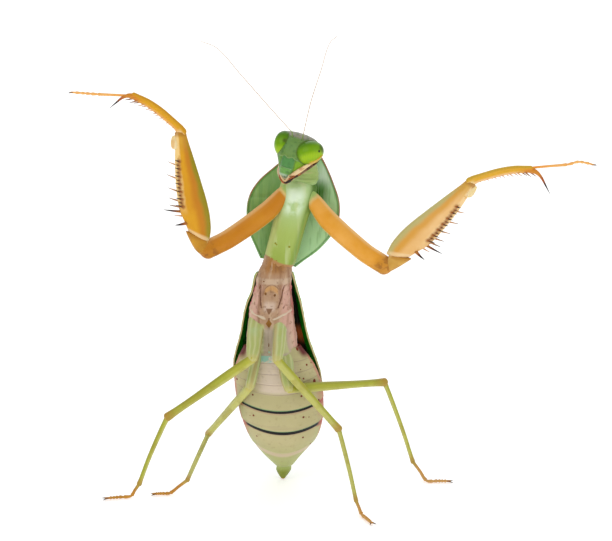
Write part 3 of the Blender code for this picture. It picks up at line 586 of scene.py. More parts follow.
skin.layer((204, 182, 158), skin.band(level, 8.2, 9.5, 0.35), 0.75)
margin_red = skin.times(skin.ramp(side, 0.94, 0.99), skin.ramp(level, 10.0, 13.0))
skin.layer((192, 116, 92), margin_red, 0.8)
skin.layer((96, 30, 26), skin.ramp(side, 0.76, 0.94), skin.band(level, 34.4, 38.0, 0.9))
frost = skin.times(skin.band(level, 33.9, 36.6, 0.3), skin.band(skin.read("around"), -0.42, -0.06, 0.06))
skin.layer((150, 196, 180), frost, skin.flecks(950, 2.0, 0.40, 0.50))
arc_reach = skin.ramp(side, 0.95, 0.88)
for border, wide in BLACK_EDGES.items():
    rust = skin.times(skin.ramp(side, 0.84, 0.93), skin.band(level, border - 1.2, border + 0.3, 0.3))
    skin.layer((170, 40, 36), rust, 0.8)
    green_edge = skin.band(level, border + 0.02, border + 0.3, 0.08)
    skin.layer((110, 150, 100), green_edge, arc_reach)
    skin.layer((176, 128, 110), skin.band(level, border - 1.0, border - wide, 0.15), 0.5)
    skin.layer((3, 3, 3), skin.band(level, border - wide, border + 0.04, 0.05), arc_reach)
belly_finish = skin.finish(0.42, 0.25, 0.12)

abdomen = mould_tube(
    blank_tube("abdomen_plates", 96, len(BELLY_LEVELS)), belly_place, {"level": belly_level})
dress(abdomen, belly_finish, "abdomen", "abdomen")
print("belly plates:", len(PLATE_EDGES) + 1, "rings:", len(BELLY_LEVELS))

# %% [markdown]
# The small rust-red dots beside the plates are breathing holes and scars. They are placed where
# the photograph shows them, by sending a ray from the camera to the belly, and each is a low
# dome sunk into the skin.

# %% Dots on the belly
# Column and row in the photograph, radius, and where it isn't round how tall it is for its width
BELLY_DOTS = [
    (252.7, 394.7, 0.24), (301.4, 396.2, 0.27), (253.5, 415.4, 0.28), (303.4, 417.2, 0.30),
    (309.0, 417.0, 0.16), (250.0, 415.4, 0.14), (256.8, 436.0, 0.22), (303.0, 437.4, 0.26),
    (310.4, 443.4, 0.26), (306.7, 364.7, 0.28), (299.2, 378.2, 0.28), (303.5, 378.6, 0.24),
    (318.7, 400.0, 0.34), (237.0, 379.0, 0.30), (314.4, 381.4, 0.45, 1.5), (311.0, 362.5, 0.2),
    (300.6, 369.5, 0.16), (297.2, 349.0, 0.34, 1.4),
]


def dots_on(name, piece, dots, flatness=0.3):
    """Low domes on a piece, where the photograph shows dots."""
    domes = []
    for column, row, radius, *tall in dots:
        place, normal = spot_on(piece, column, row)
        if place is None:
            continue
        bpy.ops.object.select_all(action="DESELECT")
        bpy.ops.mesh.primitive_uv_sphere_add(segments=14, ring_count=8, radius=radius * MM)
        dome = bpy.context.object
        dome.scale = (1.0, tall[0] if tall else 1.0, flatness)
        dome.rotation_euler = normal.to_track_quat("Z", "Y").to_euler()
        dome.location = place
        bpy.ops.object.transform_apply(location=True, rotation=True, scale=True)
        domes.append(dome)
    print(name, len(domes), "of", len(dots))
    return join(name, domes)


dot_finish = Recipe("rust dots", (124, 42, 12), (88, 26, 8), 1500, 600).finish(0.5, 0.2)
dress(dots_on("belly_dots", abdomen, BELLY_DOTS), dot_finish, "abdomen")

# %% [markdown]
# ## Tip of the abdomen
# The last plate is a green keel with a brown point that holds the egg-laying valves, and it
# touches the floor. Two short jointed feelers stand beside it at the back.

# %% Keel and cerci
KEEL_HEIGHT = 4.4


def keel_place(share, angle):
    height = KEEL_HEIGHT * (1 - math.cos(math.pi * share / 2))
    valve = 0.12 * math.exp(-((abs(math.cos(angle)) - 0.15) / 0.12) ** 2) * step(0.0, 0.4, share)
    return body_point(height, angle, 0.08 - valve - 0.4 * step(2.6, 4.4, height), 1.1)


skin = Recipe("keel skin", (126, 134, 26), (104, 116, 16), 900, 200)
skin.layer((160, 172, 96), skin.ramp(skin.read("along"), 0.62, 0.9))
skin.layer((160, 112, 16), skin.ramp(skin.read("along"), 0.30, 0.05))
keel_finish = skin.finish(0.4, 0.25, 0.08)
keel = mould_tube(blank_tube("keel_plate", 40, 24), keel_place)
dress(keel, keel_finish, "tip", "ovipositor")

CERCUS_ROOT = (1.5, 8.3, 4.1)
CERCUS_SPREAD = 0.8
CERCUS_LENGTH = 4.0
CERCUS_JOINTS = 7


def cercus_place(sign):
    root = Vector((CERCUS_ROOT[0] + sign * CERCUS_SPREAD, *CERCUS_ROOT[1:]))
    aim = Vector((sign * 0.35, 0.88, -0.3)).normalized()
    side_way = aim.cross(Vector((0, 0, 1))).normalized()
    up_way = side_way.cross(aim)

    def place(share, angle):
        bead = 0.86 + 0.14 * abs(math.sin(math.pi * CERCUS_JOINTS * share))
        radius = along([(0, 0.42), (0.35, 0.5), (0.75, 0.4), (1.0, 0.08)], share)[0] * bead
        centre = root + aim * (CERCUS_LENGTH * share)
        return centre + (side_way * math.cos(angle) + up_way * math.sin(angle)) * radius
    return place


skin = Recipe("cercus skin", (150, 160, 70), (120, 130, 50), 1500, 400)
skin.layer((150, 110, 50), skin.ramp(skin.read("along"), 0.5, 1.0))
cercus_finish = skin.finish(0.5, 0.3)
for side_name, sign in (("left", 1), ("right", -1)):
    cercus = mould_tube(blank_tube("cercus_beads_" + side_name, 14, 43), cercus_place(sign))
    dress(cercus, cercus_finish, "walking_leg", "cercus_" + side_name)
print("keel and two cerci")

# %% [markdown]
# ## Chest
# Between the legs and the shield the skin is thin and pinkish, drawn into folds that run down
# and inwards over a harder plate in the middle. The folds are moulded as real relief from a few
# ridges, because they have to throw shadows from every side.

# %% Chest skin
CHEST_BOTTOM, CHEST_TOP = 35.5, 59.6
# Ridges and grooves of the chest: start angle from the middle of the belly, start height, end
# angle, end height, half width in millimetres, lift
CHEST_RIDGES = [
    (74, 46.6, 9, 44.6, 0.36, 0.34),
    (86, 47.8, 14, 44.9, 0.30, 0.22),
    (62, 49.8, 19, 46.1, 0.28, 0.22),
    (88, 51.6, 50, 47.9, 0.36, 0.26),
    (78, 54.0, 66, 50.4, 0.30, 0.20),
    (34, 53.2, 31, 50.2, 0.24, 0.14),
    (45, 52.6, 24, 47.3, 0.16, -0.30),
    (74, 52.5, 40, 47.0, 0.14, -0.22),
    (92, 48.6, 60, 45.6, 0.14, -0.22),
    (0, 46.2, 0, 44.4, 0.24, -0.24),
    (0, 43.2, 0, 36.0, 0.22, -0.35),
]
PLATE_MIDDLE = 49.2
# Her chest is turned a little to her right, so its middle line lies off the axis, in degrees
CHEST_TURN = 6.0


def chest_angle(angle):
    """Angle from the middle line of the chest, in degrees; her left is positive."""
    return math.degrees(math.atan2(math.cos(angle), -math.sin(angle))) + CHEST_TURN


def chest_relief(height, turn):
    """Lift of the chest skin; turn is the angle from the middle of the belly, in degrees."""
    lift = 0.0
    _, _, half_width, belly, _ = along(BODY_SECTIONS, height)
    round_scale = math.radians(1) * (half_width + belly) / 2
    wave = 0.35 * noise.noise(Vector((turn * 0.04, height * 0.5, 9.0)))
    for start_turn, start_height, end_turn, end_height, half, tall in CHEST_RIDGES:
        run = Vector(((end_turn - start_turn) * round_scale, end_height - start_height))
        gap = Vector(((abs(turn) - start_turn) * round_scale, height + wave - start_height))
        share = min(max(gap.dot(run) / run.dot(run), 0.0), 1.0)
        distance = (gap - run * share).length
        lift += tall * math.exp(-(distance / half) ** 2)
    narrow = 2.0 - 1.5 * step(49.4, 44.8, height)
    plate = (turn * round_scale / narrow) ** 2 + (max(height - PLATE_MIDDLE, 0.0) / 2.9) ** 2
    plate += 2 * step(45.4, 44.4, height)
    lift += 0.2 * step(1.3, 0.8, plate)
    lift += 0.10 * noise.noise(Vector((turn * round_scale * 0.9, height * 1.3, 4.0)))
    lift += 0.05 * noise.noise(Vector((turn * round_scale * 3.0, height * 3.0, 2.0)))
    return lift


def chest_height(share):
    return CHEST_BOTTOM + (CHEST_TOP - CHEST_BOTTOM) * share


def chest_place(share, angle):
    height = chest_height(share)
    lift = chest_relief(height, chest_angle(angle)) - 0.12 - 0.35 * step(55.6, 57.6, height)
    lift += 0.3 * step(51.0, 54.0, height) - 0.9 * math.cos(angle) ** 2 * step(40.0, 36.5, height)
    return body_point(height, angle, lift)


def chest_turn(share, angle, point):
    return abs(chest_angle(angle))


def chest_fold(share, angle, point):
    return chest_relief(chest_height(share), chest_angle(angle))


def point_height(share, angle, point):
    return point.z


skin = Recipe("chest skin", (176, 142, 112), (160, 122, 86), 800, 110, 0.7)
high = skin.read("height")
turn = skin.read("turn")
fold = skin.read("fold")
streaks = skin.noise(330, 3.0, (1.6, 1.6, 0.22))
mauve = skin.times(skin.band(turn, 30, 110, 12), skin.band(high, 36, 53, 1.5))
skin.layer((208, 164, 148), mauve, 0.8)
skin.layer((196, 104, 104), skin.band(turn, 72, 100, 7), skin.band(high, 45, 53, 1.5))
pale = skin.times(skin.ramp(turn, 22, 8), skin.band(high, 46.6, 48.8, 0.8))
skin.layer((204, 180, 162), pale, 0.8)
bow = skin.times(turn, turn, 0.0021)
bow = skin.plus(high, bow)
arch = skin.times(skin.band(bow, 51.6, 52.8, 0.4), skin.ramp(turn, 26, 18))
skin.layer((200, 150, 88), arch, 0.75)
arch = skin.times(skin.band(bow, 52.9, 53.15, 0.1), skin.ramp(turn, 27, 22))
skin.layer((116, 78, 46), arch, 0.7)
skin.layer((158, 108, 50), skin.ramp(high, 54.4, 57.0), skin.ramp(turn, 62, 20))
skin.layer((204, 180, 154), skin.band(high, 53.0, 54.4, 0.3), 0.6)
skin.layer((126, 84, 50), skin.ramp(streaks, 0.50, 0.66), 0.65)
skin.layer((206, 180, 150), skin.ramp(streaks, 0.44, 0.34), 0.5)
skin.layer((120, 84, 54), skin.flecks(1100, 4.0, 0.56, 0.70), 0.5)
# Painted from the relief: the highest ridges paler, the pale hem with painted highlight on it, and the
# grooves darker with painted shade.
skin.layer((202, 184, 158), skin.ramp(fold, 0.27, 0.40))
skin.layer((108, 68, 42), skin.ramp(fold, -0.05, -0.20), 0.85)
skin.layer((182, 166, 146), skin.ramp(high, 43.2, 41.5), skin.ramp(turn, 70, 30))
green_patch = skin.times(skin.band(high, 36.0, 43.2, 0.5), skin.band(turn, 12, 42, 4))
skin.layer((190, 194, 134), green_patch, 0.85)
wedge_edge = skin.math("SUBTRACT", turn, skin.times(skin.math("SUBTRACT", high, 45.7), 5.2))
wedge_mark = skin.times(skin.ramp(wedge_edge, 2.2, -1.0), skin.band(high, 45.7, 47.3, 0.2))
skin.layer((112, 70, 34), wedge_mark, 0.85)
gem = skin.math("ABSOLUTE", skin.math("SUBTRACT", high, 43.5))
gem = skin.plus(skin.math("DIVIDE", turn, 7.8), skin.math("DIVIDE", gem, 1.15))
skin.layer((134, 88, 20), skin.ramp(gem, 1.12, 0.9))
chest_finish = skin.finish(0.5, 0.35, 0.06)
chest = mould_tube(
    blank_tube("chest_skin", 150, 150), chest_place,
    {"height": point_height, "turn": chest_turn, "fold": chest_fold})
dress(chest, chest_finish, "thorax", "mesothorax", "metathorax")

# Column and row in the photograph, radius, and how tall the mark is for its width
CHEST_MARKS = [
    (265.5, 293.9, 0.30, 1.2), (274.6, 295.2, 0.30, 1.2), (268.6, 345.0, 0.18, 2.6),
    (259.5, 288.0, 0.14, 3.0), (263.8, 281.5, 0.2, 1.0), (283.0, 290.0, 0.14, 2.6),
]
mark_finish = Recipe("chest marks", (128, 84, 34), (86, 52, 22), 1200, 500).finish(0.5, 0.25)
dress(dots_on("chest_marks", chest, CHEST_MARKS, 0.25), mark_finish, "thorax")

# %% [markdown]
# ## First chest joint and neck
# The long first joint of the chest carries the shield. Its belly side is a smooth yellow-green
# strip between two edges. The neck above it is soft skin in rings, and bends to the head.

# %% Prothorax
PROTHORAX_BASE = Vector((0.62, 0.0, 57.78))
PROTHORAX_LEAN = Vector((6.86, 3.6, 26.25))
# Distance from the base, half width, belly depth, back depth
PROTHORAX_SECTIONS = [
    (-1.2, 3.3, 2.2, 2.0), (0.3, 3.8, 2.7, 2.3), (7.0, 3.9, 2.8, 2.3), (12.5, 4.1, 3.0, 2.4),
    (16.0, 4.5, 3.3, 2.5), (19.5, 4.3, 3.1, 2.4), (20.6, 3.6, 2.4, 2.0),
]


def prothorax_frame():
    """Axes of the prothorax: X to her left, Y to the back, Z toward the head."""
    up_way = PROTHORAX_LEAN.normalized()
    across = Vector((1, 0, 0))
    across = (across - up_way * across.dot(up_way)).normalized()
    turned = Matrix((across, up_way.cross(across), up_way)).transposed().to_4x4()
    turned.translation = PROTHORAX_BASE
    return turned


SHIELD_FRAME = prothorax_frame()


def prothorax_place(share, angle):
    place = station(PROTHORAX_SECTIONS, share)
    half_width, belly, back = along(PROTHORAX_SECTIONS, place)
    front = max(-math.sin(angle), 0.0)
    place += (0.85 * math.cos(angle) - 0.45 * front ** 2) * step(5.0, 0.0, place)
    groove = 0.22 * math.exp(-((abs(math.cos(angle)) - 0.8) / 0.07) ** 2) * step(2.0, 5.0, place)
    keel = 0.12 * math.exp(-(math.cos(angle) / 0.12) ** 2) * front
    depth = belly if math.sin(angle) < 0 else back
    swell = keel - groove
    return SHIELD_FRAME @ Vector((
        (half_width + swell) * math.cos(angle), (depth + swell) * math.sin(angle), place))


skin = Recipe("chest plate green", (160, 180, 88), (172, 188, 104), 900, 90, 0.6)
around = skin.read("around")
lengthwise = skin.read("along")
skin.layer((172, 200, 136), skin.ramp(lengthwise, 0.35, 0.8))
skin.layer((144, 164, 62), skin.ramp(lengthwise, 0.35, 0.1), 0.8)
skin.layer((196, 208, 150), skin.flecks(360, 3.0, 0.5, 0.66, (1.8, 1.8, 0.25)), 0.5)
skin.layer((182, 192, 120), skin.ramp(around, -0.5, -0.85), 0.8)
skin.layer((118, 150, 54), skin.ramp(around, 0.45, 0.85), 0.8)
edge_line = skin.times(skin.band(around, 0.88, 0.92, 0.02), skin.ramp(lengthwise, 0.7, 0.55))
skin.layer((148, 140, 60), edge_line, 0.6)
rim_gap = skin.plus(lengthwise, skin.times(around, 0.055))
rim_gap = skin.plus(rim_gap, skin.times(skin.noise(200, 3.0), 0.03))
skin.layer((172, 126, 76), skin.ramp(rim_gap, 0.105, 0.085))
shadow = skin.times(skin.ramp(around, 0.55, 0.9), skin.ramp(lengthwise, 0.62, 0.78))
skin.layer((66, 108, 24), shadow, 0.85)
pale = skin.times(skin.band(lengthwise, 0.62, 0.9, 0.08), skin.band(around, -0.5, 0.4, 0.25))
pale = skin.times(pale, skin.flecks(260, 4.0, 0.34, 0.52))
skin.layer((220, 236, 208), pale, 0.95)
prothorax_finish = skin.finish(0.4, 0.2, 0.12)
prothorax = mould_tube(blank_tube("prothorax_plate", 64, 60), prothorax_place)
dress(prothorax, prothorax_finish, "green", "prothorax")
plate_dot_finish = Recipe("plate dots", (144, 142, 36), (122, 122, 26), 1200, 500).finish(0.45, 0.2)
# Column and row in the photograph, radius
PROTHORAX_DOTS = [(275.4, 243.4, 0.26), (289.3, 246.8, 0.28), (276.6, 244.6, 0.2)]
dress(dots_on("prothorax_dots", prothorax, PROTHORAX_DOTS, 0.25), plate_dot_finish, "green")

# %% Neck
# Distance from the base, shift to her left, shift forward, half width, half depth
NECK_SECTIONS = [
    (18.6, 0.0, 0.3, 3.2, 2.1), (19.8, 0.0, 0.3, 3.5, 2.3), (20.8, 0.0, 0.5, 3.85, 2.6),
    (21.8, 0.0, 0.75, 4.0, 2.7), (23.4, -0.4, 1.4, 4.0, 2.7), (25.2, -1.0, 2.6, 3.6, 2.6),
    (26.9, -1.8, 4.2, 3.1, 2.4),
]


def neck_place(share, angle):
    place = station(NECK_SECTIONS, share)
    sideways, forward, half_width, depth = along(NECK_SECTIONS, place)
    slope = math.radians(10 * forward)
    ring = 0.05 * math.sin(place * 5.2 + 1.1 * math.cos(angle) + 0.9 * math.sin(2 * angle))
    ring += 0.04 * noise.noise(Vector((2 * math.cos(angle), 2 * math.sin(angle), place)))
    fold = ring * step(18.9, 20.5, place)
    deep = Vector((0, math.cos(slope), math.sin(slope))) * (depth + fold) * math.sin(angle)
    wide = Vector(((half_width + fold) * math.cos(angle), 0, 0))
    return SHIELD_FRAME @ (Vector((sideways, -forward, place)) + wide + deep)


skin = Recipe("neck skin", (142, 170, 88), (176, 188, 124), 800, 130, 0.8)
rings = skin.noise(240, 2.0, (0.3, 0.3, 2.5))
skin.layer((206, 186, 140), skin.ramp(rings, 0.50, 0.66), 0.6)
skin.layer((96, 120, 50), skin.ramp(rings, 0.44, 0.34), 0.5)
low = skin.plus(skin.read("along"), skin.times(skin.noise(300, 3.0), 0.3))
skin.layer((168, 198, 132), skin.ramp(low, 0.55, 0.28), 0.9)
neck_finish = skin.finish(0.45, 0.3, 0.12)
neck = mould_tube(blank_tube("neck_skin", 56, 60), neck_place)
dress(neck, neck_finish, "green", "neck")
print("prothorax and neck")

# %% [markdown]
# ## The shield
# The broad leaf over her back gives the shield mantis her name. It is a thin arched plate with a
# keel, and light shines through it, so its underside looks blue-green. A flat grid is moulded to
# the outline and then given its thickness.

# %% Shield
# Distance from the base, half width, height over the axis, shift to her left
SHIELD_SECTIONS = [
    (-0.5, 4.3, 3.2, -0.3), (1.5, 5.9, 3.4, -0.3), (5.0, 8.6, 3.6, -0.2), (9.5, 10.6, 3.8, 0.0),
    (13.5, 11.1, 3.9, 0.15), (17.5, 10.0, 3.9, 0.3), (21.5, 7.4, 3.8, 0.4), (25.0, 4.7, 3.6, 0.4),
    (28.0, 2.0, 3.2, 0.3),
]
SHIELD_WIDEST = 11.1
SHIELD_ARCH = 1.7
SHIELD_KEEL = 0.45
SHIELD_THICKNESS = 0.55


def shield_place(u, v):
    share = 2 * u - 1
    place = station(SHIELD_SECTIONS, v)
    half_width, height, shift = along(SHIELD_SECTIONS, place)
    rise = -SHIELD_ARCH * (share * half_width / SHIELD_WIDEST) ** 2
    rise += SHIELD_KEEL * math.exp(-(share * half_width / 0.5) ** 2)
    rise += 0.18 * math.exp(-((place - 15.5 + 2.2 * abs(share)) / 0.6) ** 2)
    rise += 0.05 * noise.noise(Vector((share * half_width * 0.5, place * 0.5, 1.0)))
    rise -= 0.12 * step(0.93, 1.0, abs(share))
    return SHIELD_FRAME @ Vector((share * half_width + shift, height + rise, place))


def shield_side(u, v):
    """Distance from the keel; her left is positive."""
    return (2 * u - 1) * along(SHIELD_SECTIONS, station(SHIELD_SECTIONS, v))[0]


def shield_edge(u, v):
    """Distance from the rim."""
    return shield_side(1, v) - abs(shield_side(u, v))


skin = Recipe("shield leaf", (150, 190, 112), (136, 188, 138), 700, 70, 0.7)
edge = skin.read("edge")
side = skin.read("side")
up = skin.read("along")
# Painted light: the leaf is paler and bluer on her left side, where light shines through it.
painted_light_side = skin.ramp(side, 0.5, 5.0)
skin.layer((180, 218, 166), painted_light_side, 0.9)
# A painted highlight: a pale blue-white patch high on her left side of the leaf.
painted_highlight = skin.times(skin.band(side, 3.0, 8.0, 1.5), skin.band(up, 0.74, 0.9, 0.05))
skin.layer((204, 222, 200), painted_highlight, 0.9)
left_top = skin.times(skin.ramp(side, -2.0, -8.0), skin.ramp(up, 0.5, 0.75))
skin.layer((132, 170, 88), left_top, 0.7)
# Painted shadow: a dark green patch on her left side of the leaf, part way up.
dark = skin.times(skin.band(side, 2.6, 6.6, 1.6), skin.band(up, 0.56, 0.74, 0.07))
skin.layer((62, 118, 14), dark, skin.flecks(200, 3.0, 0.30, 0.50))
veins = skin.noise(420, 2.0, (2.6, 0.6, 0.28))
skin.layer((112, 164, 96), skin.ramp(veins, 0.55, 0.64), 0.4)
skin.layer((176, 200, 160), skin.ramp(veins, 0.45, 0.36), 0.3)
outside = skin.math("SUBTRACT", 1.0, skin.read("inner"))
skin.layer((104, 160, 58), outside, 0.85)
netting = skin.times(skin.flecks(420, 3.0, 0.52, 0.62, (2.2, 0.8, 0.5)), outside)
skin.layer((140, 190, 92), netting, 0.5)
skin.layer((90, 146, 70), skin.ramp(edge, 0.8, 0.3), 0.7)
skin.layer((150, 104, 66), skin.ramp(edge, 0.14, 0.05), skin.ramp(up, 0.3, 0.55))
shield_finish = skin.finish(0.38, 0.25, 0.25)
shield = mould_sheet(
    blank_sheet("shield_leaf", 90, 110), shield_place, {"edge": shield_edge, "side": shield_side})
shield_back = SHIELD_FRAME.to_3x3() @ Vector((0, 1, 0))
thicken(shield, SHIELD_THICKNESS, lambda spot: -spot.dot(shield_back))
dress(shield, shield_finish, "shield", "pronotum")
print("shield", len(shield.data.polygons), "faces")

# %% [markdown]
# ## Limbs
# A leg joint is a tube that is flatter than it is wide, with a round end that fits the cup of the
# next one. One rule moulds them all: a table gives half width, half thickness and sideways shift
# along the joint, and the first and last rings close it into domes.

# %% Limb helpers
DOME_SHARE = 0.13


def limb_axes(start, end, plane):
    """Length of a limb and its axes: across points to the side that plane is on."""
    axis = Vector(end) - Vector(start)
    length = axis.length
    axis.normalize()
    across = (plane - axis * plane.dot(axis)).normalized()
    return length, axis, across, axis.cross(across)


def limb_ring(share, length, dome_in, dome_out):
    """Place along a limb and fullness of the ring at one share of its blank."""
    if share < DOME_SHARE:
        turn = math.radians(12 + 78 * share / DOME_SHARE)
        return -dome_in * math.cos(turn), math.sin(turn)
    if share > 1 - DOME_SHARE:
        turn = math.radians(12 + 78 * (1 - share) / DOME_SHARE)
        return length + dome_out * math.cos(turn), math.sin(turn)
    return length * (share - DOME_SHARE) / (1 - 2 * DOME_SHARE), 1.0


def mould_limb(name, start, end, girth, plane, domes, size, relief=None, skew=(0.0, 0.0), marks=None):
    """A limb; relief(share, angle) lifts its skin, and skew slants its two ends, in millimetres."""
    length, axis, across, thick = limb_axes(start, end, plane)

    def place(share, angle):
        reach, fullness = limb_ring(share, length, *domes)
        row = min(max(reach / length, 0.0), 1.0)
        half_width, half_thick, shift = along(girth, row)
        lift = relief(row, angle) if relief else 0.0
        slant = skew[0] * step(0.4, 0.0, row) + skew[1] * step(0.4, 1.0, row)
        reach += slant * math.cos(angle) * fullness
        return (Vector(start) + axis * reach + across * shift
                + across * ((half_width + lift) * fullness * math.cos(angle))
                + thick * ((half_thick + lift) * fullness * math.sin(angle)))

    def reach_mark(share, angle, point):
        return min(max(limb_ring(share, length, *domes)[0] / length, 0.0), 1.0)
    return mould_tube(blank_tube(name, *size), place, {"reach": reach_mark, **(marks or {})})


def path_points(knots):
    """Distances along a path of knots, each a point with a radius."""
    reach, rows = 0.0, []
    for index, knot in enumerate(knots):
        if index:
            reach += (Vector(knot[:3]) - Vector(knots[index - 1][:3])).length
        rows.append((reach, *knot))
    return rows


def mould_path(name, knots, size, profile=None, ground=None, flat=1.0):
    """A round tube through knots (x, y, z, radius); profile(share) scales its radius."""
    rows = path_points(knots)
    length = rows[-1][0]
    guide = Vector((0.13, 0.31, 1.0)).normalized()

    def place(share, angle):
        reach, fullness = limb_ring(share, length, rows[0][4] * 0.9, rows[-1][4] * 0.9)
        spot = min(max(reach, 0.0), length)
        x, y, z, radius = along(rows, spot)
        ahead = Vector(along(rows, min(spot + 0.05, length))[:3])
        behind = Vector(along(rows, max(spot - 0.05, 0.0))[:3])
        axis = (ahead - behind).normalized()
        across = axis.cross(guide).normalized()
        size_here = radius * fullness * (profile(spot / length) if profile else 1.0)
        turn = across * math.cos(angle) + axis.cross(across) * (math.sin(angle) * flat)
        point = Vector((x, y, z)) + axis * (reach - spot) + turn * size_here
        if ground is not None:
            point.z = max(point.z, ground)
        return point

    def reach_mark(share, angle, point):
        return min(max(limb_ring(share, length, 0.1, 0.1)[0] / length, 0.0), 1.0)
    return mould_tube(blank_tube(name, *size), place, {"reach": reach_mark})


# %% [markdown]
# ## One thorn for every place
# Her fore legs carry rows of thorns, and every foot has two claws. All are the same shape: a cone
# that bends a little to its tip. It is moulded once, and each copy gets its own mesh, size and
# direction. The first thorn itself is taken away at the end.

# %% The thorn
def mould_thorn():
    thorn = blank_tube("thorn", 8, 8)
    tips = []
    for vert in thorn.data.vertices:
        share = vert.co.z
        radius = (1 - share) ** 0.8 * 0.93 + 0.07 if share < 1 else 0.07
        bend = 0.16 * share ** 2.2
        vert.co = (vert.co.x * radius, vert.co.y * radius, share)
        vert.co.x += bend * 4
        tips.append(share)
    mark(thorn, "tip", tips)
    mark(thorn, "pale", [0.0] * len(tips))
    return thorn


THORN = mould_thorn()
print("thorn:", len(THORN.data.vertices), "vertices")


def plant_thorn(root, aim, length, radius, bend_to, pale=0.0):
    """A copy of the thorn at root, in millimetres, that points to aim and bends to bend_to."""
    copy = THORN.copy()
    copy.data = THORN.data.copy()
    bpy.context.scene.collection.objects.link(copy)
    aim = aim.normalized()
    side_way = (bend_to - aim * bend_to.dot(aim)).normalized()
    turn = Matrix((side_way, aim.cross(side_way), aim)).transposed().to_4x4()
    size = Matrix.Diagonal((radius * MM, radius * MM, length * MM, 1.0))
    copy.data.transform(Matrix.Translation(at(root)) @ turn @ size)
    copy.data.attributes["pale"].data.foreach_set("value", [pale] * len(copy.data.vertices))
    return copy


# %% [markdown]
# ## Walking legs
# The four legs she stands on are thin and yellow-green, with ochre knees and feet. The feet lie
# flat on the floor. Each has five joints, and the pair of claws at its end.

# %% Walking leg tables
# Socket, hip, knee, ankle, heel, toe
WALKING_LEGS = {
    "mid_left": [(1.1, -2.6, 44.7), (0.1, -9.5, 36.0), (14.9, -5.2, 17.3), (19.0, -15.7, 2.7),
                 (20.3, -19.0, 0.4), (22.9, -25.7, 0.4)],
    "mid_right": [(-4.9, -2.6, 44.7), (-5.8, -9.5, 36.3), (-26.5, -6.1, 20.6), (-33.7, -5.8, 3.4),
                  (-35.8, -6.2, 0.4), (-42.6, -8.0, 0.4)],
    "hind_left": [(1.6, -2.8, 37.9), (2.9, -7.2, 28.1), (26.5, 9.5, 24.6), (33.8, 10.6, 3.5),
                  (37.1, 5.0, 0.4), (43.6, 4.7, 0.4)],
    "hind_right": [(-4.4, -2.8, 37.9), (-6.5, -7.2, 28.6), (-17.5, 13.5, 9.9), (-21.9, -6.4, 4.6),
                   (-26.4, -4.1, 0.4), (-31.0, -4.7, 0.4)],
}
# Share of the joint, half width, half thickness, sideways shift
COXA_GIRTH = [(0.0, 1.95, 1.0, 0.0), (0.3, 1.95, 1.2, 0.0), (0.7, 1.75, 1.2, 0.0),
              (0.9, 1.5, 1.15, 0.0), (1.0, 1.2, 1.05, 0.0)]
FEMUR_GIRTH = [(0.0, 1.1, 1.0, 0.0), (0.3, 1.15, 1.0, 0.0), (0.7, 0.9, 0.85, 0.0),
               (0.90, 0.92, 0.8, 0.0), (1.0, 1.08, 0.9, 0.0)]
TIBIA_GIRTH = [(0.0, 0.75, 0.65, 0.0), (0.08, 0.6, 0.55, 0.1), (0.2, 0.58, 0.55, 0.2),
               (0.6, 0.52, 0.52, 0.3), (0.93, 0.52, 0.5, 0.05), (1.0, 0.62, 0.56, 0.0)]
# Girth, domes at the two ends, sides and rings, number of ridges and their height
LEG_JOINTS = {
    "coxa": (COXA_GIRTH, (0.4, 1.0), (28, 40), (6, 0.05)),
    "femur": (FEMUR_GIRTH, (0.9, 0.85), (24, 44), (5, 0.04)),
    "tibia": (TIBIA_GIRTH, (0.7, 0.6), (20, 44), (4, 0.03)),
}
COXA_SINK = Vector((0.0, 1.1, -0.7))
TARSUS_RADIUS = 0.46
TARSUS_JOINTS = [0.0, 0.34, 0.5, 0.63, 0.74, 0.86]
FOOT_CLAW_SPREAD = math.radians(30)
# Length and radius of a claw
CLAW_SIZE = (1.7, 0.26)
FOOT_CLEARANCE = 0.02


def ribs(count, lift):
    """Fine ridges that run the length of a limb."""
    def relief(share, angle):
        return lift * math.cos(count * angle)
    return relief


def bead_profile(joints, first):
    """Radius along a foot: every joint widens to its far end and then drops."""
    edges = [first + (1 - first) * joint for joint in joints]

    def profile(share):
        if share <= edges[0]:
            return 0.92 + 0.16 * step(edges[0] - 0.06, edges[0], share)
        index = min(max(bisect_right(edges, share) - 1, 0), len(edges) - 1)
        if index == len(edges) - 1:
            return 0.62 + 0.1 * math.sin(math.pi * (share - edges[-1]) / (1 - edges[-1]))
        place = (share - edges[index]) / (edges[index + 1] - edges[index])
        return (0.62 + 0.42 * step(0.0, 0.85, place)) * (1 - 0.25 * step(0.9, 1.0, place))
    return profile


def foot_claws(start, end, length, radius):
    """The pair of claws at the tip of a foot."""
    run = (Vector(end) - Vector(start)).normalized()
    flat = Vector((run.x, run.y, 0)).normalized()
    claws = []
    for sign in (-1, 1):
        aim = Matrix.Rotation(sign * FOOT_CLAW_SPREAD, 3, "Z") @ flat
        root = Vector(end) - run * length * math.cos(FOOT_CLAW_SPREAD)
        claws.append(plant_thorn(root, aim, length, radius, flat * 0.6 - Vector((0, 0, 1))))
    return claws


# %% [markdown]
# The skins of the legs are darker along the outer edge and paler along the inner one. The mark
# "around" tells the two edges apart, and "reach" tells how far along the joint a place is, which
# gives the ochre knees.

# %% Leg finishes
skin = Recipe("walking leg skin", (172, 172, 58), (156, 162, 40), 900, 160, 0.7)
reach = skin.read("reach")
around = skin.read("around")
skin.layer((206, 202, 130), skin.ramp(around, -0.1, -0.8), 0.5)
skin.layer((146, 146, 34), skin.ramp(around, 0.3, 0.9), 0.6)
skin.layer((176, 128, 52), skin.ramp(reach, 0.86, 1.0), 0.75)
skin.layer((150, 136, 44), skin.flecks(200, 3.0, 0.52, 0.64), 0.4)
skin.layer((188, 172, 80), skin.ramp(reach, 0.05, 0.0), 0.5)
leg_finish = skin.finish(0.42, 0.3, 0.08)

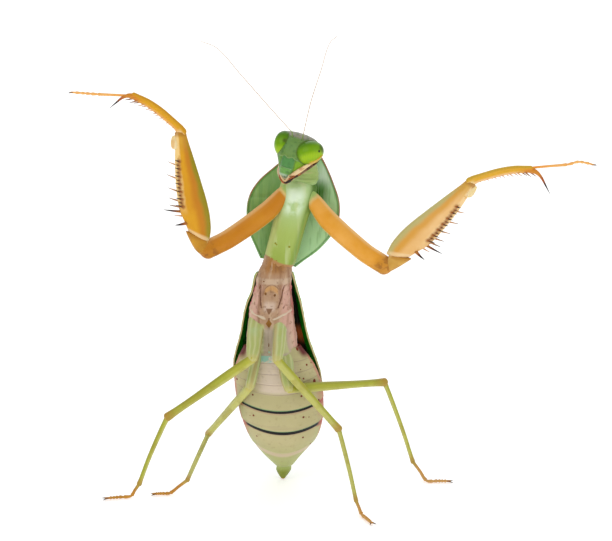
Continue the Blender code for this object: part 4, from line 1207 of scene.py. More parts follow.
skin = Recipe("leg root skin", (176, 182, 118), (168, 178, 104), 900, 160, 0.7)
stripes = skin.plus(skin.times(skin.read("around"), 9.0), skin.times(skin.noise(160, 3.0), 6.0))
stripes = skin.math("SINE", stripes)
skin.layer((212, 210, 162), skin.ramp(stripes, 0.0, 1.0), 0.4)
skin.layer((164, 174, 86), skin.ramp(stripes, -0.2, -1.0), 0.3)
skin.layer((166, 198, 150), skin.flecks(200, 2.0, 0.52, 0.70), 0.3)
skin.layer((176, 142, 92), skin.ramp(skin.math("ABSOLUTE", skin.read("around")), 0.86, 0.99), 0.5)
skin.layer((194, 184, 112), skin.ramp(skin.read("reach"), 0.9, 1.0), 0.6)
coxa_finish = skin.finish(0.42, 0.3, 0.1)

skin = Recipe("foot skin", (196, 138, 44), (166, 108, 26), 1200, 250, 0.6)
skin.layer((210, 170, 110), skin.ramp(skin.read("around"), 0.2, 0.9), 0.5)
skin.layer((176, 150, 66), skin.ramp(skin.read("reach"), 0.25, 0.0))
foot_finish = skin.finish(0.45, 0.3)

skin = Recipe("fore foot skin", (240, 182, 106), (226, 156, 70), 1200, 250, 0.7)
skin.layer((230, 150, 50), skin.ramp(skin.read("reach"), 0.45, 0.1))
fore_foot_finish = skin.finish(0.45, 0.3, 0.1)

skin = Recipe("claw horn", (150, 96, 40), (120, 70, 26), 1500, 500)
skin.layer((36, 22, 12), skin.ramp(skin.read("tip"), 0.35, 0.75))
claw_finish = skin.finish(0.3, 0.1)

# %% [markdown]
# Three joints of each leg are limbs with fine ridges along them. The foot is a tube through five
# knots whose radius drops at every joint, so that it looks like a row of beads.

# %% Build the walking legs
for leg, places in WALKING_LEGS.items():
    socket, hip, knee, ankle, heel, toe = [Vector(place) for place in places]
    plane = knee - (hip + ankle) / 2
    ends = {"coxa": (socket + COXA_SINK, hip), "femur": (hip, knee), "tibia": (knee, ankle)}
    for joint, (girth, domes, size, ridges) in LEG_JOINTS.items():
        limb = mould_limb(f"{leg}_{joint}_skin", *ends[joint], girth, plane, domes, size, ribs(*ridges))
        dress(limb, coxa_finish if joint == "coxa" else leg_finish, "walking_leg", f"{leg}_{joint}")
    first = (heel - ankle).length
    beads = bead_profile(TARSUS_JOINTS, first / (first + (toe - heel).length))
    toe_end = heel.lerp(toe, 0.86)
    knots = [(*ankle, TARSUS_RADIUS), (*ankle.lerp(heel, 0.5), TARSUS_RADIUS * 0.9),
             (*heel, TARSUS_RADIUS), (*heel.lerp(toe_end, 0.5), TARSUS_RADIUS * 0.92),
             (*toe_end, TARSUS_RADIUS * 0.8)]
    foot = mould_path(leg + "_foot", knots, (16, 110), beads, FOOT_CLEARANCE)
    dress(foot, foot_finish, "tarsus", leg + "_tarsus")
    dress(join(leg + "_claws", foot_claws(heel, toe, *CLAW_SIZE)), claw_finish, "tarsus")
print(len(WALKING_LEGS), "walking legs")

# %% [markdown]
# ## Fore legs
# She shows them wide open. The first joint is orange, the thigh is amber with an olive back edge,
# and its belly edge carries two rows of black-tipped thorns with four long ones near the base.
# The shin ends in a hooked claw, and its foot points away past it.

# %% Fore leg tables
# Places of the joints of each fore leg
FORELEGS = {
    "left": {"socket": (7.8, -0.7, 73.6), "elbow": (25.9, -4.0, 57.8), "trochanter": (29.9, -4.6, 60.4),
             "knee": (45.8, -5.0, 78.3), "claw_root": (59.5, -7.0, 82.5), "claw_tip": (64.4, -8.0, 76.4),
             "tarsus_bend": (68.5, -8.0, 83.4), "toe": (75.3, -8.0, 83.3)},
    "right": {"socket": (2.8, -0.7, 75.2), "elbow": (-16.6, -4.0, 61.7), "trochanter": (-19.4, -4.6, 65.6),
              "knee": (-22.3, -5.0, 90.3), "claw_root": (-32.8, -7.0, 99.8), "claw_tip": (-38.7, -8.0, 96.9),
              "tarsus_bend": (-41.9, -8.0, 100.1), "toe": (-48.4, -8.0, 100.6)},
}
FORE_COXA_GIRTH = [(0.0, 1.5, 1.0, 0.3), (0.08, 2.0, 1.4, -0.2), (0.3, 2.4, 1.8, -1.15),
                   (0.75, 2.35, 1.7, -1.0), (0.93, 2.35, 1.8, -0.3), (1.0, 2.3, 1.75, 0.0)]
FORE_COXA_SINK = Vector((0.0, 1.7, 0.0))
FORE_TROCHANTER_GIRTHS = {
    "left": [(0.0, 1.5, 1.5, 0.3), (0.6, 1.7, 1.4, 0.2), (1.0, 1.75, 1.3, 0.05)],
    "right": [(0.0, 1.6, 1.5, 0.3), (0.5, 1.95, 1.4, 0.2), (1.0, 1.4, 1.3, -0.2)],
}
FORE_FEMUR_GIRTH = [(0.0, 2.4, 1.4, -0.85), (0.1, 3.05, 1.5, -0.9), (0.24, 3.45, 1.6, -0.6),
                    (0.5, 3.0, 1.5, -0.1), (0.75, 2.2, 1.35, 0.15), (0.93, 1.45, 1.15, 0.2),
                    (1.0, 1.3, 1.1, 0.25)]
FORE_FEMUR_SKEW = (1.7, 0.0)
FORE_TROCHANTER_SKEW = {"left": (0.0, 2.0), "right": (0.0, 2.6)}
FORE_TIBIA_GIRTH = [(0.0, 1.2, 1.0, -0.15), (0.06, 1.1, 0.95, -0.4), (0.14, 0.95, 0.88, -0.6),
                    (0.25, 0.95, 0.85, -0.65), (0.5, 0.97, 0.85, -0.68), (0.75, 0.92, 0.8, -0.35),
                    (0.95, 0.85, 0.75, 0.35), (1.0, 0.78, 0.7, 0.5)]
# Share of the joint, place across it toward the viewer, length, radius, paleness, slant in degrees
NEAR_SPINES = [(0.30 + 0.0735 * i, 1.05, 2.0 - 0.12 * i, 0.27, 0, 22) for i in range(7)]
NEAR_SPINES += [(0.337 + 0.0735 * i, 0.95, 1.0, 0.16, 0, 22) for i in range(6)]
FAR_SPINES = [(0.35, -0.6, 2.6, 0.3, 0.6, 20), (0.445, -0.6, 2.5, 0.28, 0.8, 24),
              (0.57, -0.6, 2.6, 0.26, 0.8, 26), (0.70, -0.6, 2.2, 0.24, 1, 26)]
LONG_SPINES = [(0.13, 0.5, 2.5, 0.44, 0, -4), (0.20, -0.5, 1.9, 0.24, 1, 8),
               (0.25, -0.1, 4.0, 0.36, 0, 12), (0.30, 0.2, 2.6, 0.3, 0.4, 16)]
TIBIA_SPINES = [(0.16 + 0.062 * i, 0.35 * (-1) ** i, 0.45 + 0.09 * i + 0.03 * max(i - 9, 0) ** 2,
                 0.15 + 0.009 * i, 1.0 if i < 11 else 0.4, 34) for i in range(14)]
# How deep a thorn is sunk, and how far the stain at its root reaches
SPINE_ROOT = 0.45
STAIN_REACH = 0.85
# Share of the way from the root of the hook to its tip, bow away from it, radius
HOOK_ROWS = [(-0.12, -1.5, 0.5), (0.06, -0.4, 0.7), (0.2, 0.45, 0.58), (0.34, 0.75, 0.42),
             (0.5, 0.75, 0.31), (0.75, 0.38, 0.18), (1.0, 0.0, 0.05)]
FORE_CLAW_SIZE = (1.4, 0.17)
FORE_TARSUS_RADIUS = 0.38
FORE_TARSUS_JOINTS = [0.0, 0.25, 0.45, 0.62, 0.84]
FORE_TARSUS_BOW = {"left": 0.65, "right": 0.0}
# Share of the thigh, place across it, half length, half width, half thickness
KNEE_LOBES = {"left": (0.948, 1.5, 1.75, 1.3, 1.1), "right": (0.92, 1.85, 1.7, 1.3, 1.0)}


def spine_root(start, end, girth, plane, share, aside):
    """Where a thorn grows on the inner edge of a joint, in millimetres."""
    _, _, across, thick = limb_axes(start, end, plane)
    half_width, half_thick, shift = along(girth, share)
    edge = half_width * math.sqrt(max(1 - (aside / half_thick) ** 2, 0.1))
    return Vector(start).lerp(Vector(end), share) + across * (shift + edge) + thick * aside


def spine_row(start, end, girth, plane, rows, front):
    """Thorns on the inner edge; front is 1 where the thickness axis points to the viewer."""
    _, axis, across, thick = limb_axes(start, end, plane)
    thorns = []
    for share, aside, tall, radius, pale, slant in rows:
        aside, turn = aside * front, math.radians(slant)
        lean = across * math.cos(turn) + axis * math.sin(turn) + thick * aside * 0.35
        root = spine_root(start, end, girth, plane, share, aside) - lean.normalized() * SPINE_ROOT
        thorns.append(plant_thorn(root, lean, tall + SPINE_ROOT, radius, axis, pale))
    return thorns


def stain_mark(spots, reach):
    """A mark that is one at the root of each thorn and fades with distance."""
    def rule(share, angle, point):
        return step(reach, reach * 0.3, min((point - spot).length for spot in spots))
    return rule


def knee_lobe(name, start, end, plane, size):
    """The pale lobe at the end of the thigh."""
    _, axis, across, thick = limb_axes(start, end, plane)
    share_along, aside, half_long, half_wide, half_thick = size
    middle = Vector(start).lerp(Vector(end), share_along) + across * aside

    def place(share, angle):
        turn = math.radians(8 + 164 * share)
        fullness = math.sin(turn) * (1 + 0.06 * math.cos(3 * angle))
        fullness *= 0.82 + 0.18 * math.cos(turn * 1.4)
        return (middle - axis * half_long * math.cos(turn)
                + across * half_wide * fullness * math.cos(angle)
                + thick * half_thick * fullness * math.sin(angle))
    return mould_tube(blank_tube(name, 24, 24), place)


# %% [markdown]
# In the photograph her two fore legs differ in colour: her left one is paler and more amber, her
# right one deeper and more golden. Their finishes share their layers and take the colours of each
# side from a table.

# %% Fore leg finishes
skin = Recipe("thorn horn", (176, 110, 40), (150, 84, 24), 1500, 500)
tip = skin.read("tip")
skin.layer((116, 56, 20), skin.ramp(tip, 0.15, 0.4))
skin.layer((32, 18, 12), skin.ramp(tip, 0.35, 0.62))
pale_mask = skin.times(skin.read("pale"), skin.ramp(tip, 0.95, 0.66))
skin.layer((212, 160, 112), pale_mask)
thorn_finish = skin.finish(0.3, 0.1)

# Base colour, colour of its blotches
FORE_COXA_COLOURS = {
    "left": ((220, 150, 34), (236, 178, 90)),
    "right": ((190, 118, 2), (204, 138, 26)),
}
fore_coxa_finishes = {}
for side_name, (deep, light) in FORE_COXA_COLOURS.items():
    skin = Recipe("fore coxa skin " + side_name, deep, light, 900, 150, 0.6)
    around = skin.read("around")
    reach = skin.read("reach")
    # Paler along both edges of the joint: pale rims with a painted highlight on them.
    spread = skin.ramp(skin.math("ABSOLUTE", around), 0.72, 0.98)
    skin.layer((240, 204, 146), spread, 0.5)
    ragged = skin.plus(reach, skin.times(skin.noise(300, 3.0), 0.08))
    skin.layer((214, 186, 116), skin.ramp(ragged, 0.125, 0.085))
    skin.layer((160, 188, 104), skin.ramp(ragged, 0.09, 0.05))
    skin.layer((176, 112, 6), skin.ramp(reach, 0.86, 0.97), 0.6)
    knuckle = skin.times(skin.ramp(reach, 0.88, 0.97), skin.flecks(700, 3.0, 0.48, 0.60))
    skin.layer((134, 78, 10), knuckle, 0.55)
    fore_coxa_finishes[side_name] = skin.finish(0.4, 0.3, 0.08)

FORE_TROCHANTER_COLOURS = {
    "left": ((212, 166, 74), (176, 120, 34)),
    "right": ((200, 144, 26), (166, 108, 8)),
}
wedge_finishes = {}
for side_name, (light, dark) in FORE_TROCHANTER_COLOURS.items():
    skin = Recipe("fore trochanter skin " + side_name, light, dark, 900, 220, 0.8)
    reach = skin.read("reach")
    skin.layer(dark, skin.ramp(reach, 0.7, 0.95), 0.7)
    skin.layer((232, 196, 124), skin.ramp(skin.read("around"), -0.6, -0.95), 0.6)
    wedge_finishes[side_name] = skin.finish(0.4, 0.3, 0.08)

# Back edge, deep stripe, belly, hem of the belly
THIGH_COLOURS = {
    "left": ((190, 180, 116), (212, 148, 26), (234, 192, 132), (240, 206, 150)),
    "right": ((150, 138, 16), (190, 116, 0), (216, 156, 6), (242, 208, 138)),
}
thigh_finishes = {}
for side_name, (back_edge, deep, belly, hem) in THIGH_COLOURS.items():
    skin = Recipe("fore thigh skin " + side_name, belly, deep, 900, 140, 0.35)
    around, reach = skin.read("around"), skin.read("reach")
    wave = skin.plus(around, skin.times(skin.noise(260, 4.0), 0.4))
    wave = skin.math("SUBTRACT", wave, 0.2)
    skin.layer(deep, skin.ramp(wave, 0.25, -0.30), 0.8)
    skin.layer((202, 156, 50), skin.ramp(reach, 0.78, 0.95), 0.6)
    olive = skin.times(skin.ramp(wave, -0.36, -0.80), skin.ramp(reach, 1.02, 0.7))
    skin.layer(back_edge, olive, 0.95)
    skin.layer((208, 190, 146), skin.ramp(around, -0.93, -0.995), skin.ramp(reach, 0.7, 0.2))
    edge_share = skin.times(skin.ramp(wave, 0.40, 0.72), skin.ramp(reach, 0.16, 0.4))
    skin.layer(hem, edge_share, 0.9)
    speckle = skin.times(edge_share, skin.flecks(900, 2.0, 0.54, 0.62))
    skin.layer((206, 150, 50), speckle, 0.6)
    skin.layer((236, 206, 156), skin.ramp(reach, 0.03, 0.0), 0.7)
    skin.layer((150, 92, 16), skin.ramp(reach, 0.96, 1.0), 0.6)
    skin.layer((150, 84, 12), skin.read("stain"), 0.75)
    thigh_finishes[side_name] = skin.finish(0.38, 0.3, 0.12)

# Back edge, middle, belly
SHIN_COLOURS = {
    "left": ((196, 160, 44), (220, 170, 44), (232, 186, 124)),
    "right": ((198, 142, 10), (216, 158, 4), (226, 166, 84)),
}
shin_finishes = {}
for side_name, (back_edge, middle, belly) in SHIN_COLOURS.items():
    skin = Recipe("fore shin skin " + side_name, middle, (212, 146, 20), 900, 140, 0.4)
    around, reach = skin.read("around"), skin.read("reach")
    skin.layer(back_edge, skin.ramp(around, -0.35, -0.85), 0.85)
    skin.layer(belly, skin.ramp(around, 0.2, 0.75), skin.ramp(reach, 1.0, 0.6))
    skin.layer((240, 216, 168), skin.ramp(reach, 0.12, 0.0), skin.ramp(around, -0.4, 0.3))
    skin.layer((206, 124, 34), skin.ramp(reach, 0.78, 0.98), skin.ramp(around, -0.6, 0.4))
    shin_finishes[side_name] = skin.finish(0.38, 0.3, 0.12)
skin = Recipe("knee flap", (240, 216, 170), (222, 200, 136), 900, 260, 0.8)
skin.layer((206, 150, 60), skin.flecks(500, 2.0, 0.5, 0.62, (1.0, 1.0, 0.4)), 0.5)
flap_finish = skin.finish(0.4, 0.25, 0.3)

skin = Recipe("hook horn", (206, 132, 38), (196, 124, 24), 1500, 300)
skin.layer((206, 150, 34), skin.ramp(skin.read("reach"), 0.22, 0.1))
skin.layer((166, 84, 34), skin.ramp(skin.read("reach"), 0.42, 0.62))
skin.layer((22, 15, 12), skin.ramp(skin.read("reach"), 0.62, 0.78))
hook_finish = skin.finish(0.28, 0.1)

# %% [markdown]
# Each fore leg is built from the body outward: the upper arm with the small wedge at the elbow,
# the thigh, the shin, the hook at its end and the foot. One function makes each of them, so that
# both sides follow the same steps and differ only in their tables.

# %% Upper arm and thigh
WEDGE_OVERLAP = 0.5


def build_upper_arm(side_name, socket, elbow, base, plane):
    """The first joint and the small wedge that carries the thigh."""
    coxa = mould_limb("fore_coxa_skin_" + side_name, socket + FORE_COXA_SINK, elbow,
                      FORE_COXA_GIRTH, plane, (1.4, 1.9), (36, 60), ribs(3, 0.06))
    dress(coxa, fore_coxa_finishes[side_name], "fore_coxa", "fore_coxa_" + side_name)
    wedge_end = base + (elbow - base).normalized() * WEDGE_OVERLAP
    wedge = mould_limb("fore_trochanter_skin_" + side_name, elbow, wedge_end,
                       FORE_TROCHANTER_GIRTHS[side_name], plane, (1.2, 0.5), (40, 40), None,
                       FORE_TROCHANTER_SKEW[side_name])
    dress(wedge, wedge_finishes[side_name], "fore_coxa", "fore_trochanter_" + side_name)


def build_thigh(side_name, base, knee, plane, front):
    """The thigh with its thorns and the pale lobe at the knee."""
    line = (base, knee, FORE_FEMUR_GIRTH, plane)
    spots = [spine_root(*line, row[0], row[1] * front) for row in NEAR_SPINES + LONG_SPINES]
    thigh = mould_limb("fore_thigh_" + side_name, *line, (1.3, 0.8), (56, 110), ribs(4, 0.05),
                       FORE_FEMUR_SKEW, {"stain": stain_mark(spots, STAIN_REACH)})
    dress(thigh, thigh_finishes[side_name], "fore_leg", "fore_femur_" + side_name)
    thorns = spine_row(*line, NEAR_SPINES + FAR_SPINES + LONG_SPINES, front)
    dress(join("fore_thigh_thorns_" + side_name, thorns), thorn_finish, "fore_leg")
    flap = knee_lobe("fore_knee_flap_" + side_name, base, knee, plane, KNEE_LOBES[side_name])
    dress(flap, flap_finish, "fore_leg")


# %% Shin, hook and foot
SHIN_OVERLAP = 0.3
FORE_FOOT_SINK = 0.2


def build_shin(side_name, knee, end, tip, front):
    """The shin with its thorns; its inner side faces the tip of the hook."""
    line = (knee, end, FORE_TIBIA_GIRTH, tip - end)
    shin = mould_limb("fore_shin_" + side_name, *line, (1.0, 0.6), (30, 60), ribs(4, 0.04))
    dress(shin, shin_finishes[side_name], "fore_leg", "fore_tibia_" + side_name)
    thorns = spine_row(*line, TIBIA_SPINES, front)
    dress(join("fore_shin_thorns_" + side_name, thorns), thorn_finish, "fore_leg")


def build_hook(side_name, root, tip, side_way):
    """The hook, a tube that bows away from the straight line to its tip."""
    chord = tip - root
    knots = [(*(root + chord * share + side_way * bow), radius) for share, bow, radius in HOOK_ROWS]
    dress(mould_path("fore_hook_" + side_name, knots, (20, 60)), hook_finish, "fore_leg")


def build_fore_foot(side_name, start, bend, toe):
    """The foot with its beads and two claws."""
    bow = Vector((0, 0, FORE_TARSUS_BOW[side_name]))
    knots = [(*start, FORE_TARSUS_RADIUS * 0.8), (*start.lerp(bend, 0.5), FORE_TARSUS_RADIUS * 0.85),
             (*bend, FORE_TARSUS_RADIUS), (*(bend.lerp(toe, 0.35) + bow), FORE_TARSUS_RADIUS * 0.92),
             (*(bend.lerp(toe, 0.65) + bow * 0.6), FORE_TARSUS_RADIUS * 0.88),
             (*bend.lerp(toe, 0.88), FORE_TARSUS_RADIUS * 0.75)]
    first = (bend - start).length
    beads = bead_profile(FORE_TARSUS_JOINTS, first / (first + (toe - bend).length))
    foot = mould_path("fore_foot_" + side_name, knots, (14, 110), beads)
    dress(foot, fore_foot_finish, "tarsus", "fore_tarsus_" + side_name)
    claws = join("fore_foot_claws_" + side_name, foot_claws(bend, toe, *FORE_CLAW_SIZE))
    dress(claws, claw_finish, "tarsus")


# %% Build the fore legs
for side_name, joints in FORELEGS.items():
    socket, elbow, base, knee, root, tip, bend, toe = [Vector(place) for place in joints.values()]
    plane = root - knee
    run, chord_way = plane.normalized(), (tip - root).normalized()
    side_way = (run - chord_way * run.dot(chord_way)).normalized()
    front = -1 if side_name == "left" else 1
    build_upper_arm(side_name, socket, elbow, base, plane)
    build_thigh(side_name, base, knee, plane, front)
    build_shin(side_name, knee, root + run * SHIN_OVERLAP, tip, front)
    build_hook(side_name, root, tip, side_way)
    build_fore_foot(side_name, root - run * FORE_FOOT_SINK - side_way * FORE_FOOT_SINK, bend, toe)
print("two fore legs with", len(NEAR_SPINES + FAR_SPINES + LONG_SPINES), "thigh thorns each")

# %% [markdown]
# ## Head
# A wide three-cornered box with an eye at each upper corner. Plates meet on its face: a shield
# between the feelers, a nose plate and an upper lip under it, and cheeks beside them.

# %% Head tables
HEAD_CENTRE = (4.75, -3.2, 85.35)
HEAD_YAW, HEAD_LIFT, HEAD_ROLL = math.radians(20), math.radians(16), math.radians(13)
# Height, half width, face depth, back depth
HEAD_SECTIONS = [
    (-6.9, 1.2, 1.3, 0.4), (-5.9, 1.9, 2.0, 1.1), (-4.2, 2.8, 2.9, 2.2), (-1.7, 4.4, 3.8, 3.0),
    (0.6, 5.3, 3.6, 3.2), (2.4, 5.4, 2.9, 3.1), (3.55, 4.7, 2.1, 2.6), (4.3, 3.2, 1.3, 1.8),
    (4.65, 1.0, 0.4, 0.6),
]
HEAD_BACK = 0.3
HEAD_MIDDLE, HEAD_HALF_HEIGHT = -1.13, 5.77
HEAD_FRAME = (Matrix.Translation(Vector(HEAD_CENTRE)) @ Matrix.Rotation(-HEAD_YAW, 4, "Z")
              @ Matrix.Rotation(-HEAD_LIFT, 4, "X") @ Matrix.Rotation(HEAD_ROLL, 4, "Y"))
HEAD_UNFRAME = HEAD_FRAME.inverted()
# Centre, half axes, lean of the long axis
EYES = {
    "left": ((3.4, -0.8, 0.84), (3.5, 3.3, 2.75), math.radians(-34)),
    "right": ((-3.45, -0.15, 0.95), (2.4, 2.95, 3.2), math.radians(-14)),
}
ANTENNA_SOCKET = (1.36, -2.3, 3.3)
EYE_FRAMES = {
    side_name: HEAD_FRAME @ Matrix.Translation(centre) @ Matrix.Rotation(lean, 4, "Y")
    for side_name, (centre, half_axes, lean) in EYES.items()}


def face_middle(z):
    """The middle line of the face leans a little to one side as it runs down to the mouth."""
    return -0.25 - 0.6 * step(-1.5, -6.5, z)


def brow_line(x):
    """Height of the bow-shaped seam between the face shield and the nose plate."""
    return -1.85 + 0.45 * math.exp(-((abs(x) - 1.0) / 0.55) ** 2)


def eye_gap(point):
    """Distance to the nearer eye, in eye radii; 1 is its surface."""
    gaps = []
    for side_name, frame_here in EYE_FRAMES.items():
        spot = frame_here.inverted() @ Vector(point)
        gaps.append(Vector([part / half for part, half in zip(spot, EYES[side_name][1])]).length)
    return min(gaps)


# %% Head capsule
def face_relief(x, z):
    """Lift of the face at a place in the head's own axes, in millimetres."""
    x -= face_middle(z)
    side_x, brow = abs(x), brow_line(x)
    nose_plate = step(1.60, 1.35, side_x) * step(-4.15, -4.0, z) * step(brow, brow - 0.2, z)
    upper_lip = step(1.45, 1.15, side_x) * step(-6.5, -6.1, z) * step(-4.15, -4.4, z)
    face_shield = step(2.5, 2.1, side_x + max(z - 0.6, 0.0) * 0.6)
    face_shield *= step(brow, brow + 0.2, z) * step(2.4, 2.0, z)
    lift = 0.24 * nose_plate + 0.34 * upper_lip + 0.16 * face_shield
    lift += 0.06 * math.exp(-((z - brow - 0.05) / 0.12) ** 2) * step(2.6, 2.2, side_x)
    lift += 0.10 * math.exp(-(x / 0.14) ** 2) * step(-1.9, -2.2, z) * step(-4.1, -3.9, z)
    rim = math.hypot(side_x - ANTENNA_SOCKET[0], z - ANTENNA_SOCKET[2])
    lift += 0.22 * math.exp(-((rim - 0.45) / 0.14) ** 2)
    lift -= 0.16 * math.exp(-((side_x - 1.8) / 0.16) ** 2) * step(0.0, -1.6, z)
    lift += 0.05 * noise.noise(Vector((x * 1.6, z * 1.6, 5.0)))
    return lift


def head_place(share, angle):
    turn = math.radians(5 + 170 * share)
    height = HEAD_MIDDLE - HEAD_HALF_HEIGHT * math.cos(turn)
    half_width, face, back = along(HEAD_SECTIONS, height)
    reach = math.sin(angle)
    edge = math.copysign(abs(reach) ** 1.15, reach)
    front = max(-reach, 0.0)
    x = half_width * math.cos(angle) + face_middle(height) + 0.1
    lift = face_relief(x, height) * step(0.15, 0.5, front) * step(5.0, 4.3, height)
    depth = (face + lift) if reach < 0 else back
    return HEAD_FRAME @ Vector((x, HEAD_BACK + depth * edge, height))


def head_axis(index):
    return lambda share, angle, point: (HEAD_UNFRAME @ Vector(point))[index]


def face_side(share, angle, point):
    spot = HEAD_UNFRAME @ Vector(point)
    return spot.x - face_middle(spot.z)


def brow_gap(share, angle, point):
    spot = HEAD_UNFRAME @ Vector(point)
    return spot.z - brow_line(spot.x - face_middle(spot.z))


HEAD_MARKS = {
    "head_x": face_side, "head_y": head_axis(1), "head_z": head_axis(2),
    "brow": brow_gap, "eye_gap": lambda share, angle, point: eye_gap(point),
}

skin = Recipe("face skin", (104, 138, 62), (96, 144, 78), 900, 190, 0.7)
x, y, z = skin.read("head_x"), skin.read("head_y"), skin.read("head_z")
brow, gap = skin.read("brow"), skin.read("eye_gap")
side_x = skin.math("ABSOLUTE", x)
low = skin.ramp(brow, 0.0, -0.25)
vertex = skin.times(skin.ramp(z, 2.9, 3.7), skin.ramp(y, 1.0, 0.0))
skin.layer((146, 140, 128), vertex, 0.9)
skin.layer((92, 142, 44), skin.ramp(side_x, 1.5, 1.9), low)
skin.layer((116, 160, 20), skin.ramp(x, 1.6, 1.9), low)
skin.layer((76, 134, 66), skin.ramp(side_x, 1.75, 1.5), low)
skin.layer((104, 156, 74), skin.ramp(side_x, 1.6, 1.35), skin.ramp(z, -4.1, -4.4))
skin.layer((166, 190, 160), skin.ramp(side_x, 1.4, 1.2), skin.ramp(z, -5.5, -6.0))
skin.layer((60, 104, 50), skin.flecks(900, 4.0, 0.50, 0.70), 0.6)
line = skin.times(skin.band(z, -4.3, -4.15, 0.1), skin.ramp(side_x, 1.6, 1.3))
skin.layer((176, 196, 150), line, 0.6)
line = skin.times(skin.band(brow, -0.06, 0.12, 0.1), skin.ramp(side_x, 2.5, 2.2))
skin.layer((142, 170, 106), line, 0.6)
seam = skin.times(skin.band(side_x, 1.72, 1.86, 0.08), skin.ramp(z, -1.5, -2.2))
skin.layer((66, 92, 36), seam, 0.6)
# Painted shade: the face is darker where it meets the eyes, apart from the top of the head.
skin.layer((84, 112, 34), skin.ramp(gap, 1.10, 1.03), skin.ramp(z, 4.4, 3.4))
skin.layer((206, 192, 146), skin.ramp(y, -1.5, -0.7), skin.ramp(z, -0.6, -1.6))
skin.layer((110, 88, 62), skin.band(y, 0.9, 1.9, 0.6), skin.ramp(z, -1.0, -2.0))
face_finish = skin.finish(0.4, 0.3, 0.05)
head = mould_tube(blank_tube("head_plates", 96, 96), head_place, HEAD_MARKS)
dress(head, face_finish, "face", "head")

# %% [markdown]
# The cheek band is a pale ridge that runs from the jaws to the back of her left eye, with a dark
# cord of painted shadow under it. Her other cheek is turned away and shows only a short pale rim.
# Ridges, palps and jaw are tubes whose knots lie where the photograph shows them, on planes at
# chosen depths of the head.

# %% Cheek bands
def head_spot(column, row, depth):
    """Where a ray through the photograph meets the head's own plane y = depth."""
    start, aim = photo_ray(column, row)
    start = HEAD_UNFRAME @ (Vector(start) / MM - ORIGIN)
    aim = HEAD_UNFRAME.to_3x3() @ aim
    return start + aim * ((depth - start.y) / aim.y)


def face_cord(name, rows, finish, slot, joints=0, flat=1.0):
    """A ridge through places of the photograph, with beads where it has joints."""
    knots = [(*(HEAD_FRAME @ head_spot(*row[:3])), row[3]) for row in rows]

    def segments(share):
        return 0.84 + 0.16 * abs(math.sin(math.pi * joints * share)) ** 0.5
    dress(mould_path(name, knots, (20, 60), segments if joints else None, None, flat), finish, slot)


# Column and row in the photograph, depth in the head's own axes, radius
CHEEK_BAND = [
    (289.6, 176.4, -1.1, 0.26), (292.7, 174.6, -1.2, 0.46), (296.0, 172.7, -1.2, 0.56),
    (299.6, 170.5, -1.2, 0.58), (305.4, 166.8, -1.3, 0.46), (311.0, 163.6, -1.5, 0.32),
    (316.0, 160.6, -1.6, 0.26), (319.8, 157.8, -1.4, 0.20), (322.4, 155.2, -0.9, 0.12),
]
CHEEK_SHADOW = [
    # The dark cord under the cheek band, which is painted shadow
    (292.4, 178.4, -0.2, 0.22), (297.6, 175.4, -0.2, 0.32), (303.6, 171.2, 0.0, 0.38),
    (311.0, 166.4, 0.2, 0.34), (316.6, 162.4, 0.4, 0.26), (320.2, 159.2, 0.6, 0.14),
]
CHEEK_RIM = [
    (280.8, 178.6, 0.2, 0.20), (279.2, 174.6, 0.3, 0.32), (278.4, 170.6, 0.4, 0.32),
    (278.8, 166.0, 0.5, 0.16),
]
skin = Recipe("cheek band skin", (228, 206, 160), (218, 178, 130), 1100, 300, 0.7)
skin.layer((176, 116, 62), skin.flecks(700, 3.0, 0.50, 0.62), 0.6)
skin.layer((214, 176, 90), skin.ramp(skin.read("reach"), 0.55, 0.75))
skin.layer((206, 160, 40), skin.ramp(skin.read("reach"), 0.72, 0.9))
band_finish = skin.finish(0.42, 0.3, 0.08)
# The dark cord under the cheek band is painted shadow.
skin = Recipe("cheek shadow skin", (132, 100, 74), (104, 66, 38), 1100, 300, 0.8)
skin.layer((60, 34, 16), skin.flecks(520, 3.0, 0.44, 0.56), 0.9)
skin.layer((196, 120, 60), skin.flecks(800, 3.0, 0.56, 0.64), skin.ramp(skin.read("reach"), 0.5, 0.3))
cheek_shadow_finish = skin.finish(0.5, 0.3)
face_cord("cheek_band", CHEEK_BAND, band_finish, "face")
face_cord("cheek_shadow_cord", CHEEK_SHADOW, cheek_shadow_finish, "face")
skin = Recipe("cheek rim skin", (206, 182, 150), (186, 150, 120), 1100, 300, 0.7)
rim_finish = skin.finish(0.42, 0.3, 0.08)
face_cord("cheek_band_other", CHEEK_RIM, rim_finish, "face")

# %% Jaws and palps
# Height, half width, face depth, back depth
MOUTH_SECTIONS = [(-8.0, 0.6, 0.8, 0.6), (-7.2, 1.3, 1.2, 1.0), (-5.6, 2.3, 1.3, 1.5), (-3.8, 3.0, 0.6, 2.0)]
MOUTH_BACK = 0.9


def mouth_place(share, angle):
    height = station(MOUTH_SECTIONS, share)
    half_width, front, back = along(MOUTH_SECTIONS, height)
    reach = math.sin(angle)
    groove = 0.25 * math.exp(-(math.cos(angle) / 0.12) ** 2)
    groove += 0.14 * math.exp(-((abs(math.cos(angle)) - 0.55) / 0.08) ** 2)
    depth = (front - groove) if reach < 0 else back
    x = half_width * math.cos(angle) + face_middle(height)
    return HEAD_FRAME @ Vector((x, MOUTH_BACK + depth * reach, height))


skin = Recipe("jaw skin", (196, 160, 112), (170, 118, 66), 1100, 350, 0.8)
skin.layer((120, 66, 30), skin.flecks(800, 3.0, 0.5, 0.66), 0.7)
jaw_finish = skin.finish(0.35, 0.2, 0.05)
jaws = mould_tube(blank_tube("jaws", 40, 30), mouth_place, HEAD_MARKS)
dress(jaws, jaw_finish, "mouth", "mouthparts")
cream_finish = Recipe("lip cream", (220, 198, 152), (186, 130, 80), 1100, 450, 0.8).finish(0.4, 0.2, 0.05)
rust_finish = Recipe("jaw rust", (178, 96, 40), (120, 60, 24), 1100, 300, 0.6).finish(0.35, 0.2)
jaw_black_finish = Recipe("jaw black", (34, 20, 12), (16, 10, 8), 1100, 300, 0.6).finish(0.25, 0.1)
